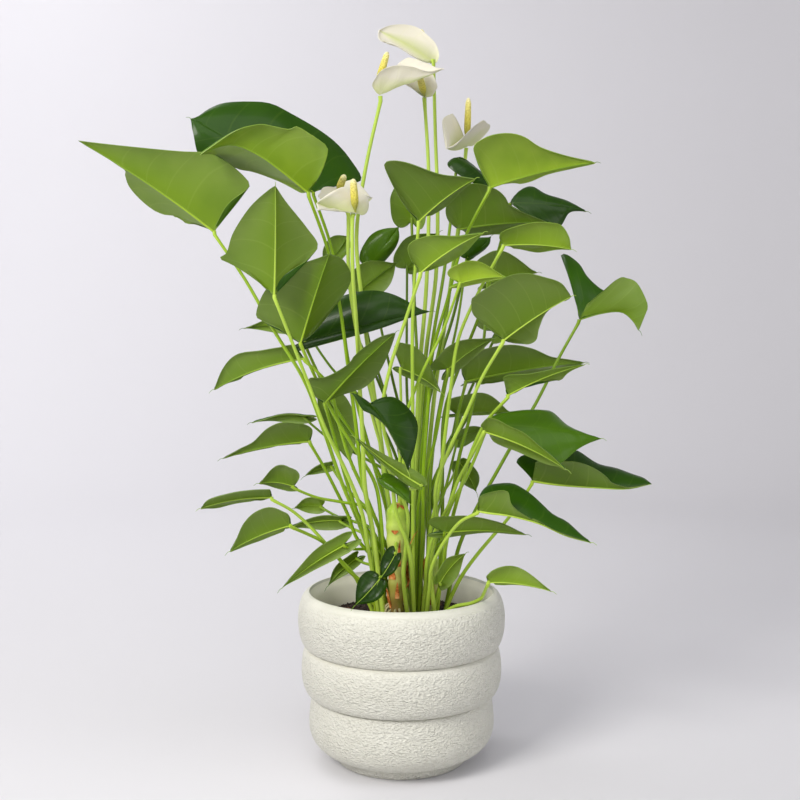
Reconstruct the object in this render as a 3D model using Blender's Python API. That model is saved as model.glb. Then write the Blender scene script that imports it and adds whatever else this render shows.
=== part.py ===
"""A white anthurium in a round stoneware pot.

The pot is turned from a profile. The soil fills it and has a plain hole for
every stalk. Leaves and blooms are laid out on an elevation drawing: a board
through the pot's axis, at full size, seen by an eye in front of it. Each entry
gives places on the board, in millimetres right of the axis and up from the
foot, and how far in front of the axis the point lies.
"""

import math

import bmesh
import bpy
import numpy as np
from mathutils import Vector
from mathutils.bvhtree import BVHTree
from mathutils.kdtree import KDTree

MM = 0.001

# The eye that the elevation is drawn from, in millimetres and radians
EYE_AWAY = 1084.0
EYE_UP = 423.6
EYE_LEFT = 1.5
EYE_DOWN = 0.057
EYE_ON_BOARD = 380.0

# Pot: half-widths and heights of the three swellings, the grooves and the rim
POT_HEIGHT = 170.0
FOOT_RADIUS = 66.5
FOOT_HEIGHT = 8.0
SWELL_RADII = (93.6, 101.0, 104.4)
GROOVES = ((64.5, 9.0), (88.6, 67.0), (93.6, 115.5))
# How full each swelling is under and over its belly: 1 is an ellipse, and less is fuller
FULLNESS = ((1.0, 0.7), (0.8, 0.7), (0.8, 1.0))
CREST_RADIUS = 93.0
OPENING_RADIUS = 86.0
LIP_DEPTH = 12.0
WALL = 9.0
FLOOR = 10.0
SWELL_STEPS = 5
POT_SIDES = 32

# Soil
SOIL_EDGE = 140.0
SOIL_MOUND = 6.0
SOIL_SIDES = 24
GAP = 0.3
HOLE_DEPTH = 22.0
HOLE_SIDES = 5

# Crowns: (right of the axis, in front of the axis, height above the foot, radius)
CROWNS = {
    "shoot_front": (-5, 24, 262, 8.5),
    "shoot_right": (30, 2, 205, 7.0),
    "shoot_left": (-22, -2, 212, 7.0),
    "shoot_back": (6, -30, 216, 7.5),
}
CROWN_CENTRE = (9.0, 0.0)
CROWN_REACH = 38.0
CROWN_SIDES = 8
# A crown's stem from foot to top: half-widths as shares, and how far its shoulder is under the top
CROWN_WIDTHS = (1.0, 1.0, 1.05, 0.85, 0.45)
CROWN_SHOULDER = 8.0
# How far a stalk's foot stands from the centre, as a share of how far its end does
FOOT_LEAN_LOW = 0.30
FOOT_LEAN_TALL = 0.15
FOOT_LEAN_DEEP = 0.26
TALL_STALK = 570.0
# The stalks' feet are pushed apart this often, until this much soil stands between two holes
SPOT_ROUNDS = 400
SPOT_PUSH = 0.35
SPOT_ROOM = 3.0
CROWN_GIRTH = 1.16
CROWN_ROOM = 0.4

# Stalks
STALK_FOOT_RADIUS = 2.6
STALK_TOP_RADIUS = 1.7
KNUCKLE = 0.5
STALK_SIDES = 5
STALK_STEPS = 9
TWIG_STEPS = 6
# Small leaves leave a crown this far under its top, then one under another, and rise at least
# this much. Their stalks start inside the crown, at this share of its half-width
TWIG_ROOT = 0.5
FIRST_TWIG = 10.0
TWIG_STEP = 5.0
TWIG_RISE = 12.0
CLEAR = 1.4
SIDEWAYS = 0.35
NEAR_SOIL = 205.0
MOST_ASIDE = 4.0
BEND_ROUNDS = 150
SMOOTH_ROUNDS = 105
MOST_BEND_LOST = 0.5

# Blades: thickness, and the puff between rib and edge and the edge's wave as shares
PUFF = 0.26
WAVE = 0.03
WAVE_TURNS = 9.0
WAVE_SHIFT = 2.4
USUAL_BELLY = 0.15
BLADE = 0.9
SPATHE = 1.0
# Where a stalk runs on under its blade: (share of the midrib, how far below it)
RIB_ROOTS = ((0.05, 0.5), (0.14, 0.2))
RIB_END_RADIUS = 0.8
# How finely they are split: (steps round the edge, rows from rib to edge, sides of the stalk)
LARGE_LEAF = (8, 2, 4)
MIDDLE_LEAF = (8, 1, 4)
SMALL_LEAF = (6, 1, 4)
MIDDLE_LENGTH = 92.0
SPATHE_STEPS = (7, 1)
# One half of a heart-shaped blade: (along the midrib, out from it), both as shares
OUTLINE = (
    (0.0, 0.0),
    (-0.10, 0.14),
    (-0.20, 0.38),
    (-0.23, 0.64),
    (-0.15, 0.87),
    (0.01, 0.98),
    (0.20, 1.0),
    (0.40, 0.87),
    (0.60, 0.62),
    (0.78, 0.33),
    (0.90, 0.12),
    (1.0, 0.0),
)

# Each leaf: joint, tip, left edge and right edge on the board,
# then how far the joint stands in front of the axis and how much nearer the eye the tip,
# left edge and right edge are than the joint, then the side that faces the eye,
# then what differs from the usual: belly (where it is widest), lobe (how far the lobes
# reach back), full (under 1 where a half is fuller towards the tip), arch (how high the
# midrib bows), via (places that the stalk passes), foot (where the stalk stands in the
# soil). A pair of values is for the left and the right half
LEAVES = {
    "leaf_01": ((-187, 549), (-323, 640), (-258, 580), (-160, 608), (44, 45, -25, 25), "under",
                dict(belly=(0.45, 0.15), lobe=(0.3, 1.0),
                     via=((-165, 518), (-139, 470), (-101, 410), (-76, 340), (-50, 270)))),
    "leaf_02": ((-88, 588), (-211, 662), (-203, 627), (-95, 662), (0, 10, 18, -35), "upper",
                dict(belly=(0.78, 0.32), lobe=(0.0, 1.0), full=(0.5, 0.45), via=((-69, 527), (-50, 400)))),
    "leaf_03": ((-93, 588), (-202, 627), (-114, 592), (-83, 639), (75, 25, -22, 28), "under",
                dict(arch=10, foot=(-24, -28), via=((-79, 545), (-66, 500), (-52, 400)))),
    "leaf_04": ((-127, 485), (-126, 595), (-180, 523), (-84, 534), (100, 55, -5, 5), "under",
                dict(belly=0.38, lobe=0.0, via=((-116, 455), (-96, 405), (-71, 340), (-41, 280)))),
    "leaf_05": ((-101, 437), (-72, 527), (-146, 470), (-53, 500), (65, 45, 0, 5), "under",
                dict(belly=0.3, lobe=0.5)),
    "leaf_06": ((-98, 438), (29, 469), (-56, 487), (-71, 437), (20, 5, -8, 10), "upper", dict()),
    "leaf_07": ((-98, 422), (-188, 391), (-114, 417), (-133, 430), (38, 5, -16, 4), "under",
                dict(arch=6, full=(1.0, 0.6), via=((-77, 407), (-55, 330)))),
    "leaf_08": ((-77, 377), (-6, 448), (-83, 404), (-56, 382), (55, 25, 8, -12), "under",
                dict(lobe=0.6, via=((-66, 340), (-45, 270)))),
    "leaf_09": ((-31, 376), (7, 308), (-6, 383), (-27, 360), (120, 12, -8, 8), "upper", dict(arch=8)),
    "leaf_10": ((17, 559), (74, 602), (-8, 612), (30, 560), (60, 40, 28, -25), "under",
                dict(via=((14, 510), (11, 470)))),
    "leaf_11": ((88, 593), (194, 618), (95, 643), (108, 592), (36, 12, 26, -25), "under",
                dict(via=((69, 567), (60, 529), (48, 485), (33, 441)))),
    "leaf_12": ((57, 622), (93, 586), (79, 611), (53, 608), (-50, 5, -8, 10), "upper",
                dict(belly=0.35, lobe=0.4)),
    "leaf_13": ((57, 551), (147, 558), (72, 595), (74, 546), (-15, 8, 22, -20), "under",
                dict(full=(0.8, 1.0))),
    "leaf_14": ((109, 577), (185, 569), (128, 594), (138, 560), (-40, 10, -15, 12), "upper",
                dict(belly=0.32, foot=(37, 17))),
    "leaf_15": ((102, 535), (170, 531), (122, 559), (114, 532), (40, 10, 12, -12), "under",
                dict(belly=0.28, full=(0.6, 1.0), via=((84, 498), (76, 485), (58, 446)))),
    "leaf_16": ((19, 508), (82, 548), (10, 538), (32, 508), (115, 40, 15, -18), "under",
                dict(via=((4, 460), (-12, 410), (-20, 370)))),
    "leaf_17": ((86, 497), (136, 508), (90, 529), (95, 495), (-86, 5, 15, -8), "under",
                dict(via=((82, 440), (74, 390)))),
    "leaf_18": ((102, 440), (170, 484), (83, 496), (124, 429), (90, 38, 25, -10), "under",
                dict(full=(0.5, 0.8), via=((87, 416), (71, 381), (55, 344), (37, 303)))),
    "leaf_19": ((178, 461), (238, 450), (176, 520), (226, 503), (-14, 20, -45, 15), "upper",
                dict(arch=10, belly=(0.15, 0.5), via=((159, 425), (139, 385), (119, 350), (69, 260)))),
    "leaf_20": ((46, 411), (94, 443), (42, 431), (60, 412), (8, 8, 10, -8), "under", dict()),
    "leaf_21": ((64, 399), (183, 418), (90, 436), (86, 399), (-38, 10, 20, -10), "under", dict()),
    "leaf_22": ((106, 385), (183, 416), (107, 405), (121, 385), (68, 8, 8, -10), "under",
                dict(via=((87, 362), (70, 330)))),
    "leaf_23": ((86, 356), (200, 342), (139, 369), (118, 328), (35, 15, -22, 22), "upper",
                dict(belly=(0.48, 0.35))),
    "leaf_24": ((83, 349), (165, 311), (101, 357), (97, 341), (85, 10, 10, -10), "under",
                dict(via=((64, 310), (39, 260)))),
    "leaf_25": ((131, 300), (250, 297), (164, 330), (151, 324), (30, 10, -35, 12), "upper",
                dict(via=((109, 265), (79, 230)))),
    "leaf_26": ((77, 270), (190, 238), (103, 299), (96, 286), (90, 15, -30, 10), "upper",
                dict(via=((54, 255), (32, 220)))),
    "leaf_27": ((87, 198), (150, 189), (103, 213), (98, 195), (78, 10, 5, -8), "under",
                dict(via=((77, 184), (61, 178)))),
    "leaf_28": ((-92, 339), (-179, 322), (-106, 334), (-119, 359), (30, 8, -12, 12), "under",
                dict(via=((-70, 300), (-45, 250)))),
    "leaf_29": ((-130, 283), (-201, 272), (-143, 279), (-145, 291), (10, 8, -10, 8), "under",
                dict(via=((-101, 263), (-61, 220)))),
    "leaf_30": ((-111, 255), (-172, 229), (-122, 248), (-131, 275), (80, 8, -8, 12), "under",
                dict(via=((-76, 235), (-56, 212)))),
    "leaf_31": ((72, 560), (150, 552), (85, 583), (90, 545), (-130, -70, 10, -10), "under", dict()),
    "leaf_32": ((95, 450), (150, 492), (92, 480), (120, 450), (-128, -70, 10, -10), "under", dict()),
    "leaf_33": ((75, 400), (150, 410), (95, 425), (90, 398), (-130, -75, 10, -10), "under", dict()),
    "leaf_34": ((10, 560), (8, 612), (-12, 580), (25, 580), (-110, -40, 0, 0), "under", dict(belly=0.3)),
}

# The small leaves of each crown, in the same way
TWIGS = {
    "shoot_front": (
        ((0, 412), (40, 388), (11, 436), (8, 402), (20, 8, 12, -10), "under", dict()),
        ((58, 497), (106, 503), (63, 519), (66, 495), (46, 6, 8, -8), "under", dict()),
        ((19, 294), (-47, 343), (3, 297), (14, 308), (105, 8, 5, -5), "under", dict(lobe=0.4)),
        ((-20, 301), (9, 276), (2, 300), (-12, 289), (100, 8, -6, 6), "upper", dict()),
        ((-21, 202), (-47, 174), (-40, 204), (-18, 185), (75, 12, -5, 5), "upper", dict(lobe=0.6)),
        ((-6, 226), (-22, 200), (-18, 225), (-4, 212), (70, 10, -3, 3), "upper", dict()),
    ),
    "shoot_right": (
        ((38, 197), (64, 227), (40, 216), (54, 202), (35, 5, 5, -5), "under", dict()),
        ((58, 318), (75, 288), (76, 310), (55, 302), (-70, 0, 5, -5), "under", dict()),
        ((55, 340), (86, 352), (60, 352), (68, 336), (-50, 0, 4, -4), "under", dict()),
        ((55, 366), (111, 367), (75, 388), (66, 365), (-80, 5, 10, -8), "under", dict(belly=0.3)),
        ((43, 248), (125, 246), (60, 266), (57, 246), (62, 8, 8, -10), "under", dict()),
        ((66, 522), (90, 544), (66, 538), (82, 528), (-96, 0, 4, -4), "upper", dict()),
    ),
    "shoot_left": (
        ((-108, 294), (-143, 297), (-118, 291), (-116, 316), (55, 5, -8, 8), "under", dict()),
        ((-61, 260), (-116, 252), (-72, 251), (-72, 265), (-25, 0, -5, 5), "under", dict()),
        ((-80, 274), (-108, 272), (-88, 266), (-89, 284), (-40, 0, -3, 5), "under", dict()),
        ((-70, 314), (-97, 304), (-76, 307), (-78, 318), (-60, 0, -3, 3), "under", dict()),
        ((-58, 235), (-120, 192), (-62, 223), (-78, 236), (52, 8, -4, 6), "under", dict()),
        ((-45, 222), (-74, 194), (-46, 212), (-60, 221), (-20, 0, -3, 3), "under", dict()),
    ),
    "shoot_back": (
        ((-98, 455), (-158, 452), (-108, 446), (-108, 466), (-70, 0, -5, 5), "under", dict()),
        ((-96, 363), (-150, 358), (-106, 358), (-106, 366), (-75, 0, -5, 5), "under", dict()),
        ((-74, 378), (-51, 316), (-46, 365), (-78, 355), (-52, 0, 0, 0), "under", dict()),
        ((-31, 516), (-2, 554), (-34, 542), (-8, 528), (-70, 0, 0, 0), "upper", dict()),
        ((-71, 518), (-52, 545), (-74, 540), (-54, 526), (-50, 0, 0, 0), "under", dict()),
        ((-43, 488), (-4, 518), (-44, 514), (-18, 488), (-35, 0, 5, -5), "under", dict()),
        ((5, 512), (38, 548), (0, 538), (32, 520), (-60, 0, 5, -5), "under", dict()),
    ),
}

# Each bloom: foot of the spathe, its tip, left edge, right edge, the fronts as above,
# the side that faces the eye, the spadix's tip (on the board, and nearer than the foot),
# and the places that the stalk passes
BLOOMS = {
    "bloom_1": ((30, 718), (-23, 750), (3, 727), (22, 752), (-50, 15, 16, -8), "under",
                (20, 755, -14), ((36, 610), (36, 565), (34, 490), (24, 410))),
    "bloom_2": ((-22, 686), (42, 712), (14, 722), (-2, 714), (12, 10, -18, 12), "upper",
                (-14, 728, -2), ((-31, 640), (-39, 590), (-45, 540), (-36, 450))),
    "bloom_3": ((23, 683), (16, 716), (4, 706), (37, 703), (-32, -8, 10, 10), "upper",
                (17, 700, 6), ((27, 615), (26, 565), (28, 520), (20, 440))),
    "bloom_4": ((65, 634), (45, 632), (86, 658), (50, 662), (-76, 30, 0, 0), "upper",
                (67, 682, 0), ((62, 595), (47, 480), (31, 370))),
    "bloom_5": ((-55, 571), (-29, 582), (-50, 600), (-82, 588), (36, -12, -15, 5), "upper",
                (-56, 602, -4), ((-51, 545), (-50, 480))),
    "bloom_6": ((-47, 567), (-85, 577), (-62, 564), (-36, 588), (90, 18, 12, -12), "upper",
                (-48, 600, 2), ((-49, 520), (-45, 450), (-43, 400), (-41, 360), (-42, 300), (-27, 225))),
}
BLOOM_FEET = {"bloom_2": (-6, 14), "bloom_6": (-17, -38)}
SPATHE_SHAPE = {"arch": -3, "lobe": 0.6, "belly": 0.35, "wave": 0.02}
SPATHE_STAND_OFF = 0.8
STALK_END_RADIUS = 0.9
SPADIX_RADIUS = 3.6
SPADIX_SIDES = 7
SPADIX_NECK = 0.05
SPADIX_SWING = 30
SPADIX_ROOM = 1.0
# The spadix: (share of its length, share of its half-width)
SPADIX_PROFILE = ((0.0, 0.2), (0.08, 0.3), (0.22, 0.85), (0.35, 1.0), (0.65, 0.95), (0.93, 0.8), (1.0, 0.3))

COLOURS = {
    "pot": ((0.78, 0.76, 0.68), 0.55),
    "soil": ((0.030, 0.020, 0.012), 0.9),
    "leaf": ((0.10, 0.20, 0.035), 0.35),
    "stalk": ((0.30, 0.45, 0.06), 0.45),
    "spathe": ((0.80, 0.78, 0.62), 0.4),
    "spadix": ((0.70, 0.62, 0.14), 0.6),
}


def sight(across, up, front):
    """The point this far in front of the axis that the eye sees at a place of the board."""
    right = (across + EYE_LEFT) / EYE_AWAY
    rise = (up - EYE_ON_BOARD) / EYE_AWAY
    reach = (EYE_AWAY - front) / (math.cos(EYE_DOWN) + rise * math.sin(EYE_DOWN))
    height = EYE_UP + reach * (rise * math.cos(EYE_DOWN) - math.sin(EYE_DOWN))
    return np.array((reach * right - EYE_LEFT, -front, height))


def unit(vector):
    return vector / max(np.linalg.norm(vector), 1e-9)


def smooth_curve(knots, count):
    """A curve through the knots, as `count` points evenly spaced along it."""
    knots = np.array(knots, dtype=float)
    padded = np.vstack([2 * knots[0] - knots[1], knots, 2 * knots[-1] - knots[-2]])
    fine = []
    for index in range(1, len(padded) - 2):
        before, start, end, after = padded[index - 1:index + 3]
        for t in np.linspace(0, 1, 12, endpoint=False):
            fine.append(0.5 * (2 * start + (end - before) * t
                               + (2 * before - 5 * start + 4 * end - after) * t ** 2
                               + (3 * start - before - 3 * end + after) * t ** 3))
    fine = np.array(fine + [knots[-1]])
    run = np.concatenate([[0], np.cumsum(np.linalg.norm(np.diff(fine, axis=0), axis=1))])
    even = np.linspace(0, run[-1], count)
    return np.stack([np.interp(even, run, fine[:, axis]) for axis in range(fine.shape[1])], axis=1)


def pair(value):
    """One value for each half of a blade."""
    return value if isinstance(value, tuple) else (value, value)


class Blade:
    """The middle surface of a leaf or spathe, from its places on the board."""

    def __init__(self, joint, tip, left, right, fronts, seen, **more):
        front, tip_near, left_near, right_near = fronts
        self.joint = sight(*joint, front)
        self.tip = sight(*tip, front + tip_near)
        self.front = front
        self.bow = more.get("arch", 4)
        self.via = more.get("via", ())
        self.wave = more.get("wave", WAVE)
        self.belly = pair(more.get("belly", 0.15))
        self.lobe = pair(more.get("lobe", 1.0))
        self.full = pair(more.get("full", 1.0))
        edges = [sight(*left, front + left_near), sight(*right, front + right_near)]
        self.up = unit(np.cross(self.tip - self.joint, edges[0] - edges[1]))
        if seen == "under":
            self.up = -self.up
        self.length = np.linalg.norm(self.tip - self.joint)
        self.sides = [edge - self.rib(belly) for edge, belly in zip(edges, self.belly)]

    def rib(self, share):
        """A point of the midrib. It runs on straight behind the joint."""
        bow = self.bow * 4 * share * (1 - share) if share > 0 else 0.0
        return self.joint + (self.tip - self.joint) * share + self.up * bow

    def place(self, half, along, out):
        """Moves a place of the usual outline to this half's own: belly, lobe and fullness."""
        belly = self.belly[half]
        if along < USUAL_BELLY:
            lobed = along * belly / USUAL_BELLY if along > 0 else along
            wedge = belly * out ** 1.3
            return wedge + (lobed - wedge) * self.lobe[half], out
        beyond = (along - USUAL_BELLY) / (1 - USUAL_BELLY)
        return belly + beyond * (1 - belly), out ** self.full[half]

    def grid(self, steps, rows):
        """Both halves as lists of lines from the midrib to the edge."""
        outline = [(along, max(out, 0.0)) for along, out in smooth_curve(OUTLINE, steps + 1)]
        places = [[self.place(half, *place) for place in outline] for half in range(2)]
        joined = sum(self.belly) / 2 + 0.01
        halves = []
        for half, side in enumerate(self.sides):
            width = np.linalg.norm(side)
            lines = []
            for step, (along, out) in enumerate(places[half]):
                middle = (places[0][step][0] + places[1][step][0]) / 2
                foot = self.rib(min(max((middle - joined) / (1 - joined), 0.0), 1.0))
                phase = WAVE_TURNS * step / steps + WAVE_SHIFT * half + self.front
                wave = self.wave * self.length * math.sin(phase)
                edge = self.rib(along) + side * out + self.up * wave * out
                line = []
                for row in range(1, rows + 1):
                    share = row / rows
                    puff = PUFF * width * share * (1 - share) * out
                    line.append(foot + (edge - foot) * share + self.up * puff)
                lines.append((foot, line))
            halves.append(lines)
        return halves


def blade_mesh(blade, thickness, steps, rows):
    """Vertices and faces of a closed blade, split into triangles alike on both faces."""
    points = []
    index = {}

    def vertex(point):
        key = tuple(np.round(point, 2))
        if key not in index:
            index[key] = len(points)
            points.append(point)
        return index[key]

    triangles = []
    rims = []
    for number, lines in enumerate(blade.grid(steps, rows)):
        rim = [vertex(blade.joint)]
        for (foot, line), (next_foot, next_line) in zip(lines, lines[1:]):
            here = [foot] + line
            there = [next_foot] + next_line
            for inner in range(rows):
                corners = [here[inner], there[inner], there[inner + 1], here[inner + 1]]
                corners = [vertex(corner) for corner in corners]
                for trio in ((0, 1, 2), (0, 2, 3)):
                    triangle = [corners[place] for place in trio]
                    if len(set(triangle)) == 3:
                        triangles.append(triangle if number == 0 else triangle[::-1])
            rim.append(vertex(there[-1]))
        rims.append(rim)
    points = np.array(points)
    normals = np.zeros_like(points)
    for triangle in triangles:
        a, b, c = points[triangle]
        normal = np.cross(b - a, c - a)
        for corner in triangle:
            normals[corner] += normal
    normals /= np.linalg.norm(normals, axis=1, keepdims=True)
    count = len(points)
    both = np.vstack([points + normals * thickness / 2, points - normals * thickness / 2])
    faces = [list(triangle) for triangle in triangles]
    faces += [[corner + count for corner in triangle[::-1]] for triangle in triangles]
    for number, rim in enumerate(rims):
        for start, end in zip(rim, rim[1:]):
            if start == end:
                continue
            wall = [[start, end, end + count], [start, end + count, start + count]]
            faces += wall if number == 1 else [face[::-1] for face in wall]
    return both, faces


def tube_mesh(points, radii, sides):
    """Vertices and faces of a closed round bar along the points."""
    points = np.array(points)
    tangents = [unit(b - a) for a, b in zip(points, points[1:])]
    tangents = [tangents[0]] + [unit(a + b) for a, b in zip(tangents, tangents[1:])] + [tangents[-1]]
    side = unit(np.cross(tangents[0], (0.0, 1.0, 0.0)))
    vertices = []
    for point, tangent, radius in zip(points, tangents, radii):
        side = unit(side - tangent * np.dot(side, tangent))
        other = np.cross(tangent, side)
        for step in range(sides):
            angle = 2 * math.pi * step / sides
            vertices.append(point + radius * (side * math.cos(angle) + other * math.sin(angle)))
    faces = [list(range(sides))[::-1]]
    for ring in range(len(points) - 1):
        for step in range(sides):
            here = ring * sides + step
            there = ring * sides + (step + 1) % sides
            faces.append([here, there, there + sides, here + sides])
    faces.append([len(vertices) - sides + step for step in range(sides)])
    return np.array(vertices), faces


def new_object(name, vertices, faces, material, at=(0.0, 0.0, 0.0), parent=None):
    """An object at a point, with its faces turned out and its mesh in metres round that point."""
    at = np.array(at, dtype=float)
    mesh = bpy.data.meshes.new(name)
    mesh.from_pydata([tuple(vertex) for vertex in (np.array(vertices) - at) * MM], [], faces)
    work = bmesh.new()
    work.from_mesh(mesh)
    bmesh.ops.recalc_face_normals(work, faces=work.faces)
    work.to_mesh(mesh)
    work.free()
    mesh.materials.append(material)
    mesh.shade_smooth()
    mesh.set_sharp_from_angle(angle=math.radians(50))
    obj = bpy.data.objects.new(name, mesh)
    bpy.context.scene.collection.objects.link(obj)
    obj.parent = parent
    origin = at * MM
    if parent is not None:
        origin = origin - np.array(parent.location)
    obj.location = origin
    return obj


def make_material(name):
    colour, roughness = COLOURS[name]
    material = bpy.data.materials.new(name)
    material.use_nodes = True
    shader = material.node_tree.nodes["Principled BSDF"]
    shader.inputs["Base Color"].default_value = (*colour, 1)
    shader.inputs["Roughness"].default_value = roughness
    shader.inputs["Metallic"].default_value = 0.0
    return material


def reach_of(mesh):
    """The spread of a mesh along its longest axis."""
    if not mesh.vertices:
        return 0.0
    points = np.array([vertex.co for vertex in mesh.vertices])
    return float(np.ptp(points, axis=0).max())


def without_crumbs(mesh):
    """Keeps a mesh's largest piece. Boolean crossings can leave a speck beside it."""
    work = bmesh.new()
    work.from_mesh(mesh)
    unseen = set(work.verts)
    pieces = []
    while unseen:
        piece = []
        front = [unseen.pop()]
        while front:
            vertex = front.pop()
            piece.append(vertex)
            fresh = {edge.other_vert(vertex) for edge in vertex.link_edges} & unseen
            unseen -= fresh
            front += fresh
        pieces.append(piece)
    pieces.sort(key=len)
    for piece in pieces[:-1]:
        bmesh.ops.delete(work, geom=piece, context="VERTS")
    work.to_mesh(mesh)
    work.free()
    return mesh


def combine(obj, others, operation):
    """Joins the other solids to the object, or cuts them from it, and removes them."""
    group = bpy.data.collections.new(obj.name + "_tools")
    bpy.context.scene.collection.children.link(group)
    for other in others:
        bpy.context.scene.collection.objects.unlink(other)
        group.objects.link(other)
    least = max(reach_of(solid.data) for solid in [obj] + (others if operation == "UNION" else []))
    for solver in ("EXACT", "MANIFOLD"):
        tool = obj.modifiers.new("combine", "BOOLEAN")
        tool.operation = operation
        tool.solver = solver
        tool.operand_type = "COLLECTION"
        tool.collection = group
        graph = bpy.context.evaluated_depsgraph_get()
        mesh = bpy.data.meshes.new_from_object(obj.evaluated_get(graph))
        obj.modifiers.clear()
        if reach_of(mesh) > 0.99 * least:  # the exact solver can lose a wavy blade
            break
    obj.data = without_crumbs(mesh)
    for other in others:
        bpy.data.objects.remove(other)
    bpy.data.collections.remove(group)


def swell(lower, upper, radius, fullness):
    """Points up one swelling from its lower groove. The upper groove's own point is left out."""
    low_radius, low = lower
    high_radius, high = upper
    points = []
    for step in range(SWELL_STEPS):
        angle = math.pi * (step / SWELL_STEPS - 0.5)
        share = 0.5 + 0.5 * math.sin(angle)
        base = low_radius + (high_radius - low_radius) * share
        bulge = math.cos(angle) ** fullness[0 if angle < 0 else 1]
        points.append((base + (radius - base) * bulge, low + (high - low) * share))
    return points


def pot_profile():
    """The pot's half section, from the middle of the underside round to the middle of the floor."""
    edges = (*GROOVES, (CREST_RADIUS, POT_HEIGHT))
    points = [(0.0, 0.0), (FOOT_RADIUS - 1.0, 0.0), (FOOT_RADIUS, 1.0), (FOOT_RADIUS, FOOT_HEIGHT)]
    for lower, upper, radius, fullness in zip(edges, edges[1:], SWELL_RADII, FULLNESS):
        points += swell(lower, upper, radius, fullness)
    points.append(edges[-1])
    for step in range(1, 4):
        angle = math.pi / 2 * step / 3
        points.append((OPENING_RADIUS + (CREST_RADIUS - OPENING_RADIUS) * math.cos(angle),
                       POT_HEIGHT - LIP_DEPTH * (1 - math.cos(angle)) ** 0.8))
    return points + list(inner_profile())[::-1]


def inner_profile():
    """The pot's inside, from the middle of the floor up to just under the soil's edge."""
    return ((0.0, FLOOR), (FOOT_RADIUS - 10, FLOOR), (FOOT_RADIUS - 1, FLOOR + 6),
            (SWELL_RADII[0] - 2 * WALL, 40.0), (OPENING_RADIUS - 2, 90.0), (OPENING_RADIUS, SOIL_EDGE - 10))


def turned(profile, sides):
    """Vertices and faces of a solid turned round the upright axis."""
    vertices = []
    rings = []
    for radius, height in profile:
        if radius == 0:
            rings.append([len(vertices)] * sides)
            vertices.append((0.0, 0.0, height))
            continue
        rings.append(list(range(len(vertices), len(vertices) + sides)))
        for step in range(sides):
            angle = 2 * math.pi * (step + 0.5) / sides
            vertices.append((radius * math.cos(angle), radius * math.sin(angle), height))
    faces = []
    for lower, upper in zip(rings, rings[1:]):
        for step in range(sides):
            after = (step + 1) % sides
            corners = [lower[step], lower[after], upper[after], upper[step]]
            faces.append(list(dict.fromkeys(corners)))
    return vertices, faces


def soil_height(x, y):
    """The soil's uneven top: a low mound with lumps."""
    reach = min(math.hypot(x, y) / OPENING_RADIUS, 1.0)
    lumps = 1.3 * math.sin(0.11 * x + 1.0) * math.cos(0.13 * y) + 0.9 * math.sin(0.23 * x - 0.19 * y)
    return SOIL_EDGE + SOIL_MOUND * (1 - reach ** 2) + lumps * (1 - reach ** 4)


def make_soil(material, spots, parent):
    """The soil, with a plain hole for each stalk and each crown."""
    off = GAP * 1.6
    profile = [(radius - off if radius else 0.0, height + (GAP if height == FLOOR else 0.0))
               for radius, height in inner_profile()]
    edge = OPENING_RADIUS - off
    profile += [(edge, SOIL_EDGE)] + [(edge * share, None) for share in (0.75, 0.5, 0.25, 0.0)]
    vertices, faces = turned(profile, SOIL_SIDES)
    vertices = [(x, y, soil_height(x, y) if z is None else z) for x, y, z in vertices]
    soil = new_object("soil", vertices, faces, material, (0.0, 0.0, SOIL_EDGE), parent)
    cutters = []
    for number, (x, y, radius) in enumerate(spots):
        bottom = (x, y, soil_bottom(x, y) - GAP)
        top = (x, y, SOIL_EDGE + 30)
        wide = (radius + GAP + 0.05) / math.cos(math.pi / HOLE_SIDES)
        shape = tube_mesh([bottom, top], [wide] * 2, HOLE_SIDES)
        cutters.append(new_object(f"hole_{number}", *shape, material))
    for cutter in cutters:
        cutter.hide_render = True
        cutter.display_type = "WIRE"
    combine(soil, cutters, "DIFFERENCE")


def soil_bottom(x, y):
    """Where a stalk's buried end stands."""
    return soil_height(x, y) - HOLE_DEPTH


class Stalk:
    """A stalk's route, from the soil or from a crown to the foot of what it carries."""

    def __init__(self, node, end, under, via, front, steps, crown=None, foot=None):
        self.node = node
        self.end = end
        self.under = under
        self.via = via
        self.front = front
        self.steps = steps
        self.crown = crown
        self.foot = foot
        self.spot = crown[:2] if crown else None
        self.points = None
        self.sides = {}

    def lay(self):
        """The first route: up from the spot, past the given places, to the end."""
        x, y = self.spot
        if self.crown is None:
            ground = soil_height(x, y)
            knots = [(x, y, ground - HOLE_DEPTH), (x, y, ground + 2)]
            low = knots[1]
        else:
            low = self.crown
            knots = [low]
        low = np.array(low, dtype=float)
        places = []
        for across, up in self.via[::-1]:
            share = (sight(across, up, 0)[2] - low[2]) / (self.end[2] - low[2])
            places.append(sight(across, up, -low[1] + (self.front + low[1]) * share ** 1.2))
        reach = np.linalg.norm(self.end - low)
        if not places:
            rise = low + np.array((0, 0, 0.34 * reach)) + (self.end - low) * 0.10
            places = [rise, low + (self.end - low) * 0.66 + np.array((0, 0, 0.10 * reach))]
        else:
            first = places[0] - low
            places.insert(0, low + first * 0.45 + np.array((0, 0, 0.05 * reach)))
        knots += places + [self.end - self.under * 3.0]
        self.points = smooth_curve(knots, self.steps)
        if self.crown is None:
            self.points[0] = knots[0]
            self.points[1] = (x, y, soil_height(x, y) + 1)
        self.drawn = self.points[:, 0].copy()

    def radius(self, share):
        return STALK_FOOT_RADIUS + (STALK_TOP_RADIUS - STALK_FOOT_RADIUS) * share


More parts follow.
